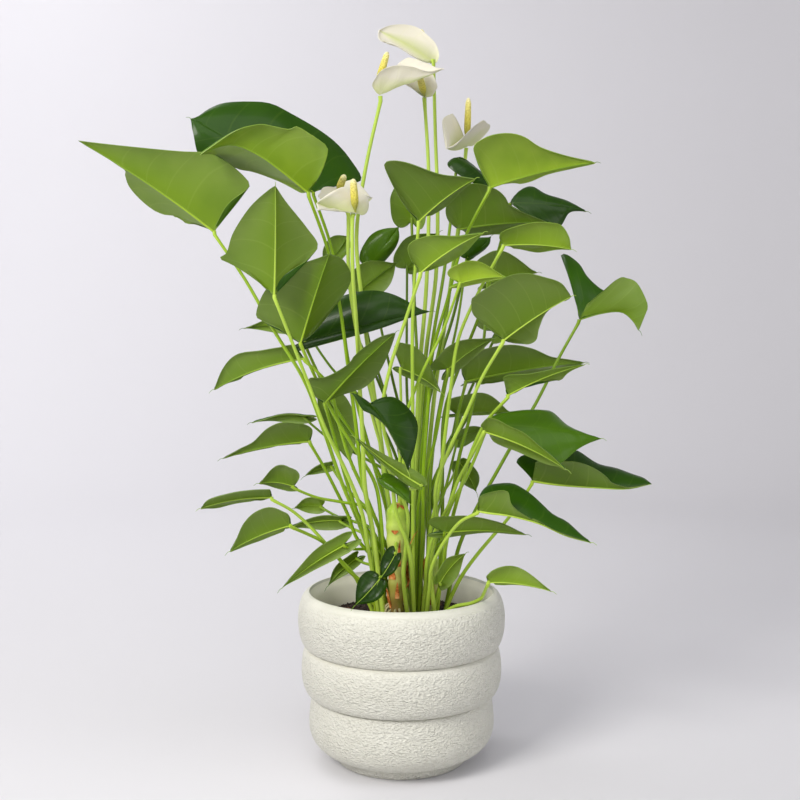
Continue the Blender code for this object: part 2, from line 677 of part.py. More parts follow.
def choose_spots(stalks):
    """Spreads the stalks' feet over the crown, each towards what it carries."""
    free = [stalk for stalk in stalks if stalk.crown is None]
    spots = []
    radii = []
    for stalk in free:
        tall = (min(stalk.end[2], TALL_STALK) - POT_HEIGHT) / (TALL_STALK - POT_HEIGHT)
        x = CROWN_CENTRE[0] + stalk.end[0] * (FOOT_LEAN_LOW + (FOOT_LEAN_TALL - FOOT_LEAN_LOW) * tall)
        y = CROWN_CENTRE[1] + stalk.end[1] * FOOT_LEAN_DEEP
        spots.append(stalk.foot or (x, y))
        radii.append(STALK_FOOT_RADIUS)
    for across, front, _, radius in CROWNS.values():
        spots.append((across, -front))
        radii.append(radius * CROWN_GIRTH + CROWN_ROOM)
    spots = np.array(spots, dtype=float)
    radii = np.array(radii)
    fixed = len(free)
    need = radii[:, None] + radii[None, :] + SPOT_ROOM
    for _ in range(SPOT_ROUNDS):
        offset = spots[:, None] - spots[None, :]
        distance = np.linalg.norm(offset, axis=2) + np.eye(len(spots)) * 1e3
        push = np.clip(need - distance, 0, None) / distance
        move = (offset * push[:, :, None]).sum(axis=1) * SPOT_PUSH
        spots[:fixed] += move[:fixed]
        inward = spots - np.array(CROWN_CENTRE)
        far = np.linalg.norm(inward, axis=1)
        over = np.clip(far - CROWN_REACH, 0, None) / far
        spots[:fixed] -= (inward * over[:, None])[:fixed] * 0.5
    for stalk, spot in zip(free, spots):
        stalk.spot = tuple(spot)
    return [(*spot, STALK_FOOT_RADIUS) for spot in spots[:fixed]]


def finer(points, parts):
    """Points along the straight pieces between the points."""
    steps = np.linspace(0, len(points) - 1, (len(points) - 1) * parts + 1)
    knots = range(len(points))
    return steps, np.stack([np.interp(steps, knots, points[:, axis]) for axis in range(3)], axis=1)


def bend_clear(stalks, walls):
    """Bends stalks in depth and a little sideways, so that they clear each other and the blades.

    Blades bend no stalk of their own node. A stalk stays on the side of a blade where it started.
    """
    tree = KDTree(sum(len(points) for _, points, _ in walls))
    wall_of = []
    for number, (_, points, normals) in enumerate(walls):
        for point, normal in zip(points, normals):
            tree.insert(Vector(point), len(wall_of))
            wall_of.append((number, point, normal))
    tree.balance()
    for turn in range(BEND_ROUNDS):
        samples = []
        for number, stalk in enumerate(stalks):
            steps, fine = finer(stalk.points, 6)
            for step, point in zip(steps, fine):
                if step >= 1 or stalk.crown is not None:
                    share = step / (len(stalk.points) - 1)
                    samples.append((number, step, point, stalk.radius(share)))
        cloud = KDTree(len(samples))
        for place, sample in enumerate(samples):
            cloud.insert(Vector(sample[2]), place)
        cloud.balance()
        moves = [np.zeros_like(stalk.points) for stalk in stalks]
        weights = [np.full(len(stalk.points), 1e-6) for stalk in stalks]

        def nudge(number, step, shift):
            low = min(int(step), len(stalks[number].points) - 2)
            share = step - low
            for place, weight in ((low, 1 - share), (low + 1, share)):
                moves[number][place] += shift * weight
                weights[number][place] += weight

        for number, step, point, radius in samples:
            for _, other, _ in cloud.find_range(Vector(point), 2 * STALK_FOOT_RADIUS + CLEAR):
                mine, mate = stalks[number], stalks[samples[other][0]]
                if mate is mine or mate.node == mine.node and point[2] < mate.points[1][2]:
                    continue
                offset = point - samples[other][2]
                short = radius + samples[other][3] + CLEAR - np.linalg.norm(offset)
                if short <= 0:
                    continue
                sideways = 1.0 if point[2] < NEAR_SOIL else SIDEWAYS
                turn_away = np.array((offset[0] * sideways, offset[1], 0.0))
                if abs(offset[1]) < 0.2:
                    turn_away[1] = 0.2 if number > samples[other][0] else -0.2
                nudge(number, step, unit(turn_away) * short * 0.6)
            votes = {}
            for _, other, _ in tree.find_range(Vector(point), 8.0):
                wall, at, normal = wall_of[other]
                if walls[wall][0] == stalks[number].node:
                    continue
                height = float(np.dot(point - at, normal))
                votes.setdefault(wall, []).append((height, normal))
            for wall, found in votes.items():
                height, normal = min(found, key=lambda entry: abs(entry[0]))
                short = radius + 1.0 + CLEAR - abs(height)
                if short <= 0:
                    continue
                side = stalks[number].sides.setdefault(wall, [turn, 0.0])
                if side[0] == turn:
                    side[1] += height * (1 if normal[1] > 0 else -1)
                toward = 1.0 if side[1] >= 0 else -1.0
                same = (height * (1 if normal[1] > 0 else -1)) * toward >= 0
                depth = short if same else short + 2 * abs(height)
                nudge(number, step, np.array((0.0, toward * min(depth, 6.0), 0.0)) * 0.7)
        for number, stalk in enumerate(stalks):
            steps, fine = finer(stalk.points, 6)
            for name, (across, front, top, radius) in CROWNS.items():
                if stalk.node == name:
                    continue
                away = fine[:, :2] - (across, -front)
                distance = np.linalg.norm(away, axis=1)
                short = radius * 1.08 + STALK_FOOT_RADIUS + CLEAR - distance
                short[fine[:, 2] > top + 15] = 0
                for place in np.flatnonzero(short > 0):
                    shift = away[place] / distance[place] * short[place] * 0.6
                    nudge(number, steps[place], np.array((shift[0] * 0.4, shift[1], 0.0)))
        still = True
        for stalk, move, weight in zip(stalks, moves, weights):
            move = move / np.maximum(weight, 0.5)[:, None]
            move[-1] = 0
            move[0] = 0
            if stalk.crown is None:
                move[1] = 0
            if np.abs(move).max() > 0.05:
                still = False
            stalk.points = stalk.points + move
            aside = np.clip(stalk.points[:, 0] - stalk.drawn, -MOST_ASIDE, MOST_ASIDE)
            stalk.points[:, 0] = stalk.drawn + aside
            if turn < SMOOTH_ROUNDS:
                bend = stalk.points[1:-2] + stalk.points[3:] - 2 * stalk.points[2:-1]
                stalk.points[2:-1, 1] += 0.10 * bend[:, 1]
        if still:
            break


def thinned(points, most=MOST_BEND_LOST):
    """The points without those that hardly bend the line."""
    first, last = points[0], points[-1]
    if len(points) < 3:
        return points
    line = unit(last - first)
    off = points - first
    off = np.linalg.norm(off - (off @ line)[:, None] * line, axis=1)
    far = int(off.argmax())
    if off[far] < most:
        return points[[0, -1]]
    return np.vstack([thinned(points[:far + 1])[:-1], thinned(points[far:])])


def wall_points(blade):
    """Points and normals all over a blade, for the stalks to keep clear of."""
    points = []
    normals = []
    for lines in blade.grid(14, 6):
        for (foot, line), (next_foot, next_line) in zip(lines, lines[1:]):
            here = [foot] + line
            there = [next_foot] + next_line
            for inner in range(len(line)):
                quad = [here[inner], there[inner], there[inner + 1], here[inner + 1]]
                normal = np.cross(quad[2] - quad[0], quad[3] - quad[1])
                if np.linalg.norm(normal) < 1e-6:
                    continue
                for middle in (sum(quad) / 4, (quad[2] + quad[3]) / 2):
                    points.append(middle)
                    normals.append(unit(normal))
    return points, normals


def leaf_solids(name, blade, stalk, material, detail, parent):
    """The blade and its stalk, ready to be fused. Both stand at the stalk's foot."""
    steps, rows, sides = detail
    foot = stalk.points[0]
    solid = new_object(name, *blade_mesh(blade, BLADE, steps, rows), material, foot, parent)
    run = list(stalk.points) + [blade.rib(share) - blade.up * below for share, below in RIB_ROOTS]
    last = len(run) - 1
    radii = [stalk.radius(step / last) for step in range(last + 1)]
    radii[-3] = STALK_TOP_RADIUS + KNUCKLE
    radii[-1] = RIB_END_RADIUS
    bar = new_object(name + "_stalk", *tube_mesh(run, radii, sides), material, foot, parent)
    return solid, bar


def make_crown(name, material, parent):
    """A short upright stem. Its foot stands in the soil."""
    across, front, top, radius = CROWNS[name]
    ground = soil_height(across, -front)
    heights = [ground - HOLE_DEPTH, ground + 4, (ground + top) / 2, top - CROWN_SHOULDER, top]
    points = [(across, -front, height) for height in heights]
    radii = [radius * width for width in CROWN_WIDTHS]
    return new_object(name, *tube_mesh(points, radii, CROWN_SIDES), material, points[0], parent)


def make_spadix(name, blade, tip, material, parent):
    """A blunt yellow spike from the spathe's foot. Its tip is set in depth to clear the spathe."""
    vertices, faces = blade_mesh(blade, SPATHE, *SPATHE_STEPS)
    spathe = BVHTree.FromPolygons([tuple(vertex) for vertex in vertices], faces)

    def room(points):
        return np.array([spathe.find_nearest(Vector(point))[3] for point in points])

    shares = np.array([share for share, _ in SPADIX_PROFILE])
    radii = np.array([width for _, width in SPADIX_PROFILE]) * SPADIX_RADIUS
    start = blade.joint + blade.up * SPATHE
    while room([start])[0] < radii[0] + GAP:
        start = start + blade.up * 0.1
    tested = np.linspace(SPADIX_NECK, 1.0, 16)
    wide = np.interp(tested, shares, radii)
    best = None
    for shift in sorted(range(-SPADIX_SWING, SPADIX_SWING + 1), key=abs):
        moved = tip + np.array((0.0, shift, 0.0))
        fine = start + (moved - start) * tested[:, None]
        free = min((room(fine) - wide).min(), SPADIX_ROOM)
        above = float(np.dot(moved - start, blade.up))
        if best is None or free > best[0] + 0.01 and above > 0:
            best = (free, moved)
    points = start + (best[1] - start) * shares[:, None]
    return new_object(name, *tube_mesh(points, radii, SPADIX_SIDES), material, blade.joint, parent)


def lay_out():
    """All blades, stalks and blooms, with their stalks bent clear of each other."""
    blades = []
    for name, (*places, more) in LEAVES.items():
        blade = Blade(*places, **more)
        stalk = Stalk(name, blade.joint, blade.up, blade.via, blade.front, STALK_STEPS,
                      foot=more.get("foot"))
        blades.append((name, blade, stalk))
    for crown, rows in TWIGS.items():
        across, front, top, radius = CROWNS[crown]
        for number, (*places, more) in enumerate(rows):
            blade = Blade(*places, **more)
            outward = unit(blade.joint[:2] - np.array((across, -front))) * radius * TWIG_ROOT
            height = min(top - FIRST_TWIG - TWIG_STEP * number, blade.joint[2] - TWIG_RISE)
            root = (across + outward[0], outward[1] - front, height)
            stalk = Stalk(crown, blade.joint, blade.up, blade.via, blade.front, TWIG_STEPS, root)
            blades.append((crown, blade, stalk))
    blooms = []
    for name, (*places, spadix, via) in BLOOMS.items():
        blade = Blade(*places, **SPATHE_SHAPE)
        top = blade.joint - blade.up * (SPATHE / 2 + SPATHE_STAND_OFF)
        stalk = Stalk(name + "_stalk", top, blade.up, via, blade.front, STALK_STEPS,
                      foot=BLOOM_FEET.get(name))
        blooms.append((name, blade, stalk, sight(spadix[0], spadix[1], blade.front + spadix[2])))
    stalks = [stalk for _, _, stalk in blades] + [stalk for _, _, stalk, _ in blooms]
    spots = choose_spots(stalks)
    for stalk in stalks:
        stalk.lay()
    walls = [(name, *wall_points(blade)) for name, blade, _ in blades]
    walls += [(name + "_spathe", *wall_points(blade)) for name, blade, _, _ in blooms]
    bend_clear(stalks, walls)
    for stalk in stalks:
        kept = 2 if stalk.crown is None else 0
        stalk.points = np.vstack([stalk.points[:kept], thinned(stalk.points[kept:])])
    return blades, blooms, spots


def main():
    for obj in list(bpy.data.objects):
        bpy.data.objects.remove(obj)
    materials = {name: make_material(name) for name in COLOURS}
    blades, blooms, spots = lay_out()

    planter = bpy.data.objects.new("planter", None)
    bpy.context.scene.collection.objects.link(planter)
    new_object("pot", *turned(pot_profile(), POT_SIDES), materials["pot"], parent=planter)
    crown_spots = [(across, -front, radius) for across, front, _, radius in CROWNS.values()]
    make_soil(materials["soil"], spots + crown_spots, planter)

    twigs = {crown: [] for crown in CROWNS}
    for number, (name, blade, stalk) in enumerate(blades):
        if name in CROWNS:
            solids = leaf_solids(f"{name}_{number}", blade, stalk, materials["leaf"], SMALL_LEAF, planter)
            twigs[name] += solids
        else:
            detail = LARGE_LEAF if blade.length > MIDDLE_LENGTH else MIDDLE_LEAF
            solid, bar = leaf_solids(name, blade, stalk, materials["leaf"], detail, planter)
            combine(solid, [bar], "UNION")
    for crown, solids in twigs.items():
        combine(make_crown(crown, materials["stalk"], planter), solids, "UNION")

    for name, blade, stalk, spadix in blooms:
        run = list(stalk.points) + [stalk.end]
        radii = [stalk.radius(step / (len(run) - 1)) for step in range(len(run) - 1)] + [STALK_END_RADIUS]
        stem = new_object(name + "_stalk", *tube_mesh(run, radii, STALK_SIDES), materials["stalk"],
                          run[0], planter)
        new_object(name + "_spathe", *blade_mesh(blade, SPATHE, *SPATHE_STEPS), materials["spathe"],
                   blade.joint, stem)
        make_spadix(name + "_spadix", blade, spadix, materials["spadix"], stem)


main()
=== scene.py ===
"""A white anthurium in a round stoneware pot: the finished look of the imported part.

Stalks and blades follow the same elevation drawing as the solids. The tables give places
on a board through the pot's axis, in millimetres right of the axis and up from the foot,
and how far in front of the axis a point lies.
"""

import math
import random

import bmesh
import bpy
import numpy as np
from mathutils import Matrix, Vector
from mathutils.kdtree import KDTree


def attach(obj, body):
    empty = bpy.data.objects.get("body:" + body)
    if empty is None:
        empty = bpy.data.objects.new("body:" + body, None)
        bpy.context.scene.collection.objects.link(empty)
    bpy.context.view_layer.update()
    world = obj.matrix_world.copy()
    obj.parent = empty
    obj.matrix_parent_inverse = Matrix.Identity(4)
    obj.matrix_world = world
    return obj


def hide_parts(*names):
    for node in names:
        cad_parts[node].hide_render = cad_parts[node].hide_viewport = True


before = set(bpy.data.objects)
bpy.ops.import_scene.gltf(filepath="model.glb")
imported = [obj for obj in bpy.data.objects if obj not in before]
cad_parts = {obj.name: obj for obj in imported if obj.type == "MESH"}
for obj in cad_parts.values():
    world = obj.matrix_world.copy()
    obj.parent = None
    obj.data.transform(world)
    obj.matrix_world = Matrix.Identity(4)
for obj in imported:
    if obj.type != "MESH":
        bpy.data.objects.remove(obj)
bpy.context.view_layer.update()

MM = 0.001
# Seeds of chance, for the leaves' tones, the soil and the roots
LEAF_SEED = 3
SOIL_SEED = 5
ROOT_SEED = 11
# Edges that turn more than this many degrees are drawn sharp
SHARP_EDGE = 50

# The eye that the elevation is drawn from, in millimetres and radians
EYE_AWAY = 1084.0
EYE_UP = 423.6
EYE_LEFT = 1.5
EYE_DOWN = 0.057
EYE_ON_BOARD = 380.0
SENSOR = 36.0
BOARD_WIDTH = 800.0

# Pot: half-widths and heights of the three swellings, the grooves and the rim
POT_HEIGHT = 170.0
FOOT_RADIUS = 66.5
FOOT_BEVEL = 1.0
FOOT_HEIGHT = 8.0
SWELL_RADII = (93.6, 101.0, 104.4)
GROOVES = ((64.5, 9.0), (88.6, 67.0), (93.6, 115.5))
# How full each swelling is under and over its belly: 1 is an ellipse, and less is fuller
FULLNESS = ((1.0, 0.7), (0.8, 0.7), (0.8, 1.0))
CREST_RADIUS = 93.0
OPENING_RADIUS = 86.0
LIP_DEPTH = 12.0
LIP_STEPS = 3
LIP_ROUNDING = 0.8
WALL = 9.0
FLOOR = 10.0
SWELL_STEPS = 22
POT_SIDES = 144
# How strongly the clay is creased: less on faces that look up, and not at all at the crest
CREASE_LOSS = 1.2
LEAST_CREASE = 0.12
SMOOTH_CREST = 6.0

# Soil
SOIL_EDGE = 140.0
SOIL_MOUND = 6.0
HOLE_DEPTH = 22.0
SOIL_DEPTH = 30.0
SOIL_GAP = 0.4
SOIL_RINGS = 44
SOIL_SIDES = 120
# Lumps in its top: (height, radians per millimetre across, radians per millimetre in depth)
BROAD_LUMPS = (1.3, 0.11, 0.13)
FINE_LUMPS = (0.9, 0.23, 0.19)
# How far the bed lies under its crumbs, how far its points stray up and down, and how wide
# its even edge is
BED_SUNK = 0.8
BED_ROUGHNESS = 1.3
BED_EVEN = 1.0
# Loose crumbs and bark chips: their sizes, how each is stretched and flattened, how far its
# corners stray, how far they keep from the pot's wall, and how far they are sunk
CRUMBS = 1500
CHIP_EVERY = 9
CRUMB_SIZES = (0.7, 2.0)
CHIP_SIZES = (1.2, 2.6)
CRUMB_STRETCH = (1.0, 1.0, 0.8)
CHIP_STRETCH = (1.6, 0.8, 0.5)
LUMP_STRAY = (0.6, 1.3)
CRUMB_INSET = 2.0
CRUMB_SUNK = 0.2

# The pot's inside, from the middle of its floor up to just under the soil's edge
INSIDE = (
    (0.0, FLOOR),
    (FOOT_RADIUS - 10, FLOOR),
    (FOOT_RADIUS - 1, FLOOR + 6),
    (SWELL_RADII[0] - 2 * WALL, 40.0),
    (OPENING_RADIUS - 2, 90.0),
    (OPENING_RADIUS, SOIL_EDGE - 10),
)

# Crowns: (right of the axis, in front of the axis, height above the foot, radius)
CROWNS = {
    "shoot_front": (-5, 24, 262, 8.5),
    "shoot_right": (30, 2, 205, 7.0),
    "shoot_left": (-22, -2, 212, 7.0),
    "shoot_back": (6, -30, 216, 7.5),
}
CROWN_CENTRE = (9.0, 0.0)
CROWN_REACH = 38.0
FOOT_LEAN_LOW = 0.30
FOOT_LEAN_TALL = 0.15
FOOT_LEAN_DEEP = 0.26
TALL_STALK = 570.0
# How far a foot counts as from itself, so that it doesn't push itself
FAR = 1000.0
SPOT_ROUNDS = 400
SPOT_PUSH = 0.35
SPOT_PULL = 0.5
SPOT_ROOM = 3.0
CROWN_GIRTH = 1.16
CROWN_ROOM = 0.4
# A crown's stem: its little swellings at old leaves, and its girth at shares of its height
STEM_RINGS = 60
STEM_SIDES = 20
SCAR_SPACING = 14.0
SCAR_SWELL = 0.05
STEM_TAPER = ((0.0, 0.9), (0.5, 0.95), (0.8, 1.2), (0.95, 1.1), (1.0, 0.5))
# Roots: how many in all and at the first crown, then where they leave the stem and where they end.
# The knee is at this share of the reach, and has dropped by this much
ROOTS = 16
FIRST_ROOTS = 8
ROOT_START = 7.0
ROOT_HEIGHTS = (10.0, 22.0)
ROOT_REACHES = (4.0, 9.0)
ROOT_TURNS = (-2.9, -0.3)
ROOT_SUNK = 4.0
ROOT_RINGS = 10
ROOT_KNEE = (0.6, 3.0)
ROOT_RADII = (1.3, 0.9)
ROOT_SIDES = 8
# A papery sheath: its grid, its thickness, and how far it stands off the stem at its foot
SHEATH_ROWS = 9
SHEATH_COLUMNS = 7
SHEATH_THICKNESS = 0.5
SHEATH_OFF = 0.5
SHEATH_TIP = 0.15
SHEATH_TAPER = 1.7

# Stalks
STALK_FOOT_RADIUS = 2.6
STALK_TOP_RADIUS = 1.7
STALK_STEPS = 9
# Small leaves' stalks leave their stem one under the other, and well under their own blades
TWIG_STEPS = 6
TWIG_ROOT = 0.5
FIRST_TWIG = 10.0
TWIG_STEP = 5.0
TWIG_RISE = 12.0
# Knots of the first route: (share of the way to the next place, share of the length straight up)
LOW_KNOT = (0.10, 0.34)
HIGH_KNOT = (0.66, 0.10)
FIRST_KNOT = (0.45, 0.05)
# How late a stalk comes forward to its blade, and how far before the blade its route's last
# knot and its own end lie
FORWARD_LATE = 1.2
RUN_IN = 3.0
JOINT_INSET = 0.6
# How stalks make room for each other, and less so sideways when they are clear of the soil
CLEAR = 1.4
SIDEWAYS = 0.35
NEAR_SOIL = 205.0
MOST_ASIDE = 4.0
LEAST_OFFSET = 0.2
STALK_PUSH = 0.6
# How they keep clear of blades: from what distance, with what room, and how strongly
BLADE_REACH = 8.0
BLADE_ROOM = 1.0
BLADE_PUSH = 0.7
MOST_PUSH = 6.0
# How they keep clear of the crowns' stems
STEM_GIRTH = 1.08
STEM_TOP_ROOM = 15.0
STEM_SIDEWAYS = 0.4
# Rounds of bending, in how many of them a stalk is also smoothed, and when it lies still
BEND_ROUNDS = 150
SMOOTH_ROUNDS = 105
SMOOTHING = 0.10
LEAST_WEIGHT = 0.5
LIES_STILL = 0.05
BEND_PARTS = 6
# How stalks and midribs are drawn
STALK_RINGS = 46
STALK_SIDES = 12
SWOLLEN_LENGTH = 7.0
RIB_RINGS = 18
RIB_SIDES = 8
RIB_END = 0.99
RIB_TIP_RADIUS = 0.3
MOST_RIB_RADIUS = 1.2
# How much a stalk is swollen at its joint, and its girth
LARGE_STALK = (0.5, 0.86)
SMALL_STALK = (0.3, 0.72)
BLOOM_STALK = (0.5, 1.0)
# A bar's first corner lies square to this way
BAR_SIDE = (0.0, 1.0, 0.1)

# Blades
PUFF = 0.26
WAVE = 0.03
WAVE_TURNS = 9.0
WAVE_SHIFT = 2.4
USUAL_BELLY = 0.15
USUAL_ARCH = 4.0
# How far past the belly the web leaves the joint, and how a back edge without a lobe curves
PAST_BELLY = 0.01
LOBE_WEDGE = 1.3
# A drawn midrib: its points, and how many of them its straight run behind the joint follows
SPINE_POINTS = 40
SPINE_START = 3
# Where a drawn edge is looked for: how far behind the joint, at how many places, and how far out
BEHIND_JOINT = -0.45
EDGE_PLACES = 117
MOST_OUT = 1.7
# How finely a blade is drawn that stalks keep clear of
WALL_DETAIL = (14, 6)
# How thick a spathe and a leaf's blade are
SPATHE = 1.0
BLADE = 0.7
# How finely they are drawn: (steps round the edge, rows from rib to edge)
LARGE_LEAF = (44, 9)
SMALL_LEAF = (30, 6)
SPATHE_STEPS = (40, 9)
# Lateral veins on each half, how far they lean to the tip, and the relief in millimetres
VEINS = 9.0
VEIN_LEAN = 0.7
QUILT = 0.3
RIB_GROOVE = 0.4
EDGE_CURL = 1.4
# How wide the groove over the midrib is, as a share of the blade's half
GROOVE_WIDTH = 0.06
# How far along a stalk's colours its joint with the blade comes. The midrib has the rest
JOINT_AT = 0.93
# A drip tip: how long it is, where along it it is drawn, how it sags and tapers, and which
# leaves have none
DRIP_TIP = 5.0
DRIP_STEPS = (0.3, 0.6, 1.0)
DRIP_SAG = 0.35
DRIP_TAPER = 0.12
NO_DRIP = ("leaf_01", "leaf_25")
# One half of a heart-shaped blade: (along the midrib, out from it), both as shares
OUTLINE = (
    (0.0, 0.0),
    (-0.10, 0.14),
    (-0.20, 0.38),
    (-0.23, 0.64),
    (-0.15, 0.87),
    (0.01, 0.98),
    (0.20, 1.0),
    (0.40, 0.87),
    (0.60, 0.62),
    (0.78, 0.33),
    (0.90, 0.12),
    (1.0, 0.0),
)

# Each leaf: joint, tip, left edge and right edge on the board,
# then how far the joint stands in front of the axis and how much nearer the eye the tip,
# left edge and right edge are than the joint, then the side that faces the eye,
# then what differs from the usual: belly (where it is widest), lobe (how far the lobes
# reach back), arch (how high the midrib bows), via (places that the stalk passes),
# full (how square the front half is), foot (where the stalk stands)
LEAVES = {
    "leaf_01": ((-187, 549), (-323, 640), (-258, 580), (-160, 608), (44, 45, -25, 25), "under",
                dict(belly=(0.45, 0.15), lobe=(0.3, 1.0),
                     via=((-165, 518), (-139, 470), (-101, 410), (-76, 340), (-50, 270)))),
    "leaf_02": ((-88, 588), (-211, 662), (-203, 627), (-95, 662), (0, 10, 18, -35), "upper",
                dict(belly=(0.78, 0.32), lobe=(0.0, 1.0), full=(0.5, 0.45), via=((-69, 527), (-50, 400)))),
    "leaf_03": ((-93, 588), (-202, 627), (-114, 592), (-83, 639), (75, 25, -22, 28), "under",
                dict(arch=10, foot=(-24, -28), via=((-79, 545), (-66, 500), (-52, 400)))),
    "leaf_04": ((-127, 485), (-126, 595), (-180, 523), (-84, 534), (100, 55, -5, 5), "under",
                dict(belly=0.38, lobe=0.0, via=((-116, 455), (-96, 405), (-71, 340), (-41, 280)))),
    "leaf_05": ((-101, 437), (-72, 527), (-146, 470), (-53, 500), (65, 45, 0, 5), "under",
                dict(belly=0.3, lobe=0.5)),
    "leaf_06": ((-98, 438), (29, 469), (-56, 487), (-71, 437), (20, 5, -8, 10), "upper", dict()),
    "leaf_07": ((-98, 422), (-188, 391), (-114, 417), (-133, 430), (38, 5, -16, 4), "under",
                dict(arch=6, full=(1.0, 0.6), via=((-77, 407), (-55, 330)))),
    "leaf_08": ((-77, 377), (-6, 448), (-83, 404), (-56, 382), (55, 25, 8, -12), "under",
                dict(lobe=0.6, via=((-66, 340), (-45, 270)))),
    "leaf_09": ((-31, 376), (7, 308), (-6, 383), (-27, 360), (120, 12, -8, 8), "upper", dict(arch=8)),
    "leaf_10": ((17, 559), (74, 602), (-8, 612), (30, 560), (60, 40, 28, -25), "under",
                dict(via=((14, 510), (11, 470)))),
    "leaf_11": ((88, 593), (194, 618), (95, 643), (108, 592), (36, 12, 26, -25), "under",
                dict(via=((69, 567), (60, 529), (48, 485), (33, 441)))),
    "leaf_12": ((57, 622), (93, 586), (79, 611), (53, 608), (-50, 5, -8, 10), "upper",
                dict(belly=0.35, lobe=0.4)),
    "leaf_13": ((57, 551), (147, 558), (72, 595), (74, 546), (-15, 8, 22, -20), "under",
                dict(full=(0.8, 1.0))),
    "leaf_14": ((109, 577), (185, 569), (128, 594), (138, 560), (-40, 10, -15, 12), "upper",
                dict(belly=0.32, foot=(37, 17))),
    "leaf_15": ((102, 535), (170, 531), (122, 559), (114, 532), (40, 10, 12, -12), "under",
                dict(belly=0.28, full=(0.6, 1.0), via=((84, 498), (76, 485), (58, 446)))),
    "leaf_16": ((19, 508), (82, 548), (10, 538), (32, 508), (115, 40, 15, -18), "under",
                dict(via=((4, 460), (-12, 410), (-20, 370)))),
    "leaf_17": ((86, 497), (136, 508), (90, 529), (95, 495), (-86, 5, 15, -8), "under",
                dict(via=((82, 440), (74, 390)))),
    "leaf_18": ((102, 440), (170, 484), (83, 496), (124, 429), (90, 38, 25, -10), "under",
                dict(full=(0.5, 0.8), via=((87, 416), (71, 381), (55, 344), (37, 303)))),
    "leaf_19": ((178, 461), (238, 450), (176, 520), (226, 503), (-14, 20, -45, 15), "upper",
                dict(arch=10, belly=(0.15, 0.5), via=((159, 425), (139, 385), (119, 350), (69, 260)))),
    "leaf_20": ((46, 411), (94, 443), (42, 431), (60, 412), (8, 8, 10, -8), "under", dict()),
    "leaf_21": ((64, 399), (183, 418), (90, 436), (86, 399), (-38, 10, 20, -10), "under", dict()),
    "leaf_22": ((106, 385), (183, 416), (107, 405), (121, 385), (68, 8, 8, -10), "under",
                dict(via=((87, 362), (70, 330)))),
    "leaf_23": ((86, 356), (200, 342), (139, 369), (118, 328), (35, 15, -22, 22), "upper",
                dict(belly=(0.48, 0.35))),
    "leaf_24": ((83, 349), (165, 311), (101, 357), (97, 341), (85, 10, 10, -10), "under",
                dict(via=((64, 310), (39, 260)))),
    "leaf_25": ((131, 300), (250, 297), (164, 330), (151, 324), (30, 10, -35, 12), "upper",
                dict(via=((109, 265), (79, 230)))),
    "leaf_26": ((77, 270), (190, 238), (103, 299), (96, 286), (90, 15, -30, 10), "upper",
                dict(via=((54, 255), (32, 220)))),
    "leaf_27": ((87, 198), (150, 189), (103, 213), (98, 195), (78, 10, 5, -8), "under",
                dict(via=((77, 184), (61, 178)))),
    "leaf_28": ((-92, 339), (-179, 322), (-106, 334), (-119, 359), (30, 8, -12, 12), "under",
                dict(via=((-70, 300), (-45, 250)))),
    "leaf_29": ((-130, 283), (-201, 272), (-143, 279), (-145, 291), (10, 8, -10, 8), "under",
                dict(via=((-101, 263), (-61, 220)))),
    "leaf_30": ((-111, 255), (-172, 229), (-122, 248), (-131, 275), (80, 8, -8, 12), "under",
                dict(via=((-76, 235), (-56, 212)))),
    "leaf_31": ((72, 560), (150, 552), (85, 583), (90, 545), (-130, -70, 10, -10), "under", dict()),
    "leaf_32": ((95, 450), (150, 492), (92, 480), (120, 450), (-128, -70, 10, -10), "under", dict()),
    "leaf_33": ((75, 400), (150, 410), (95, 425), (90, 398), (-130, -75, 10, -10), "under", dict()),
    "leaf_34": ((10, 560), (8, 612), (-12, 580), (25, 580), (-110, -40, 0, 0), "under", dict(belly=0.3)),
}

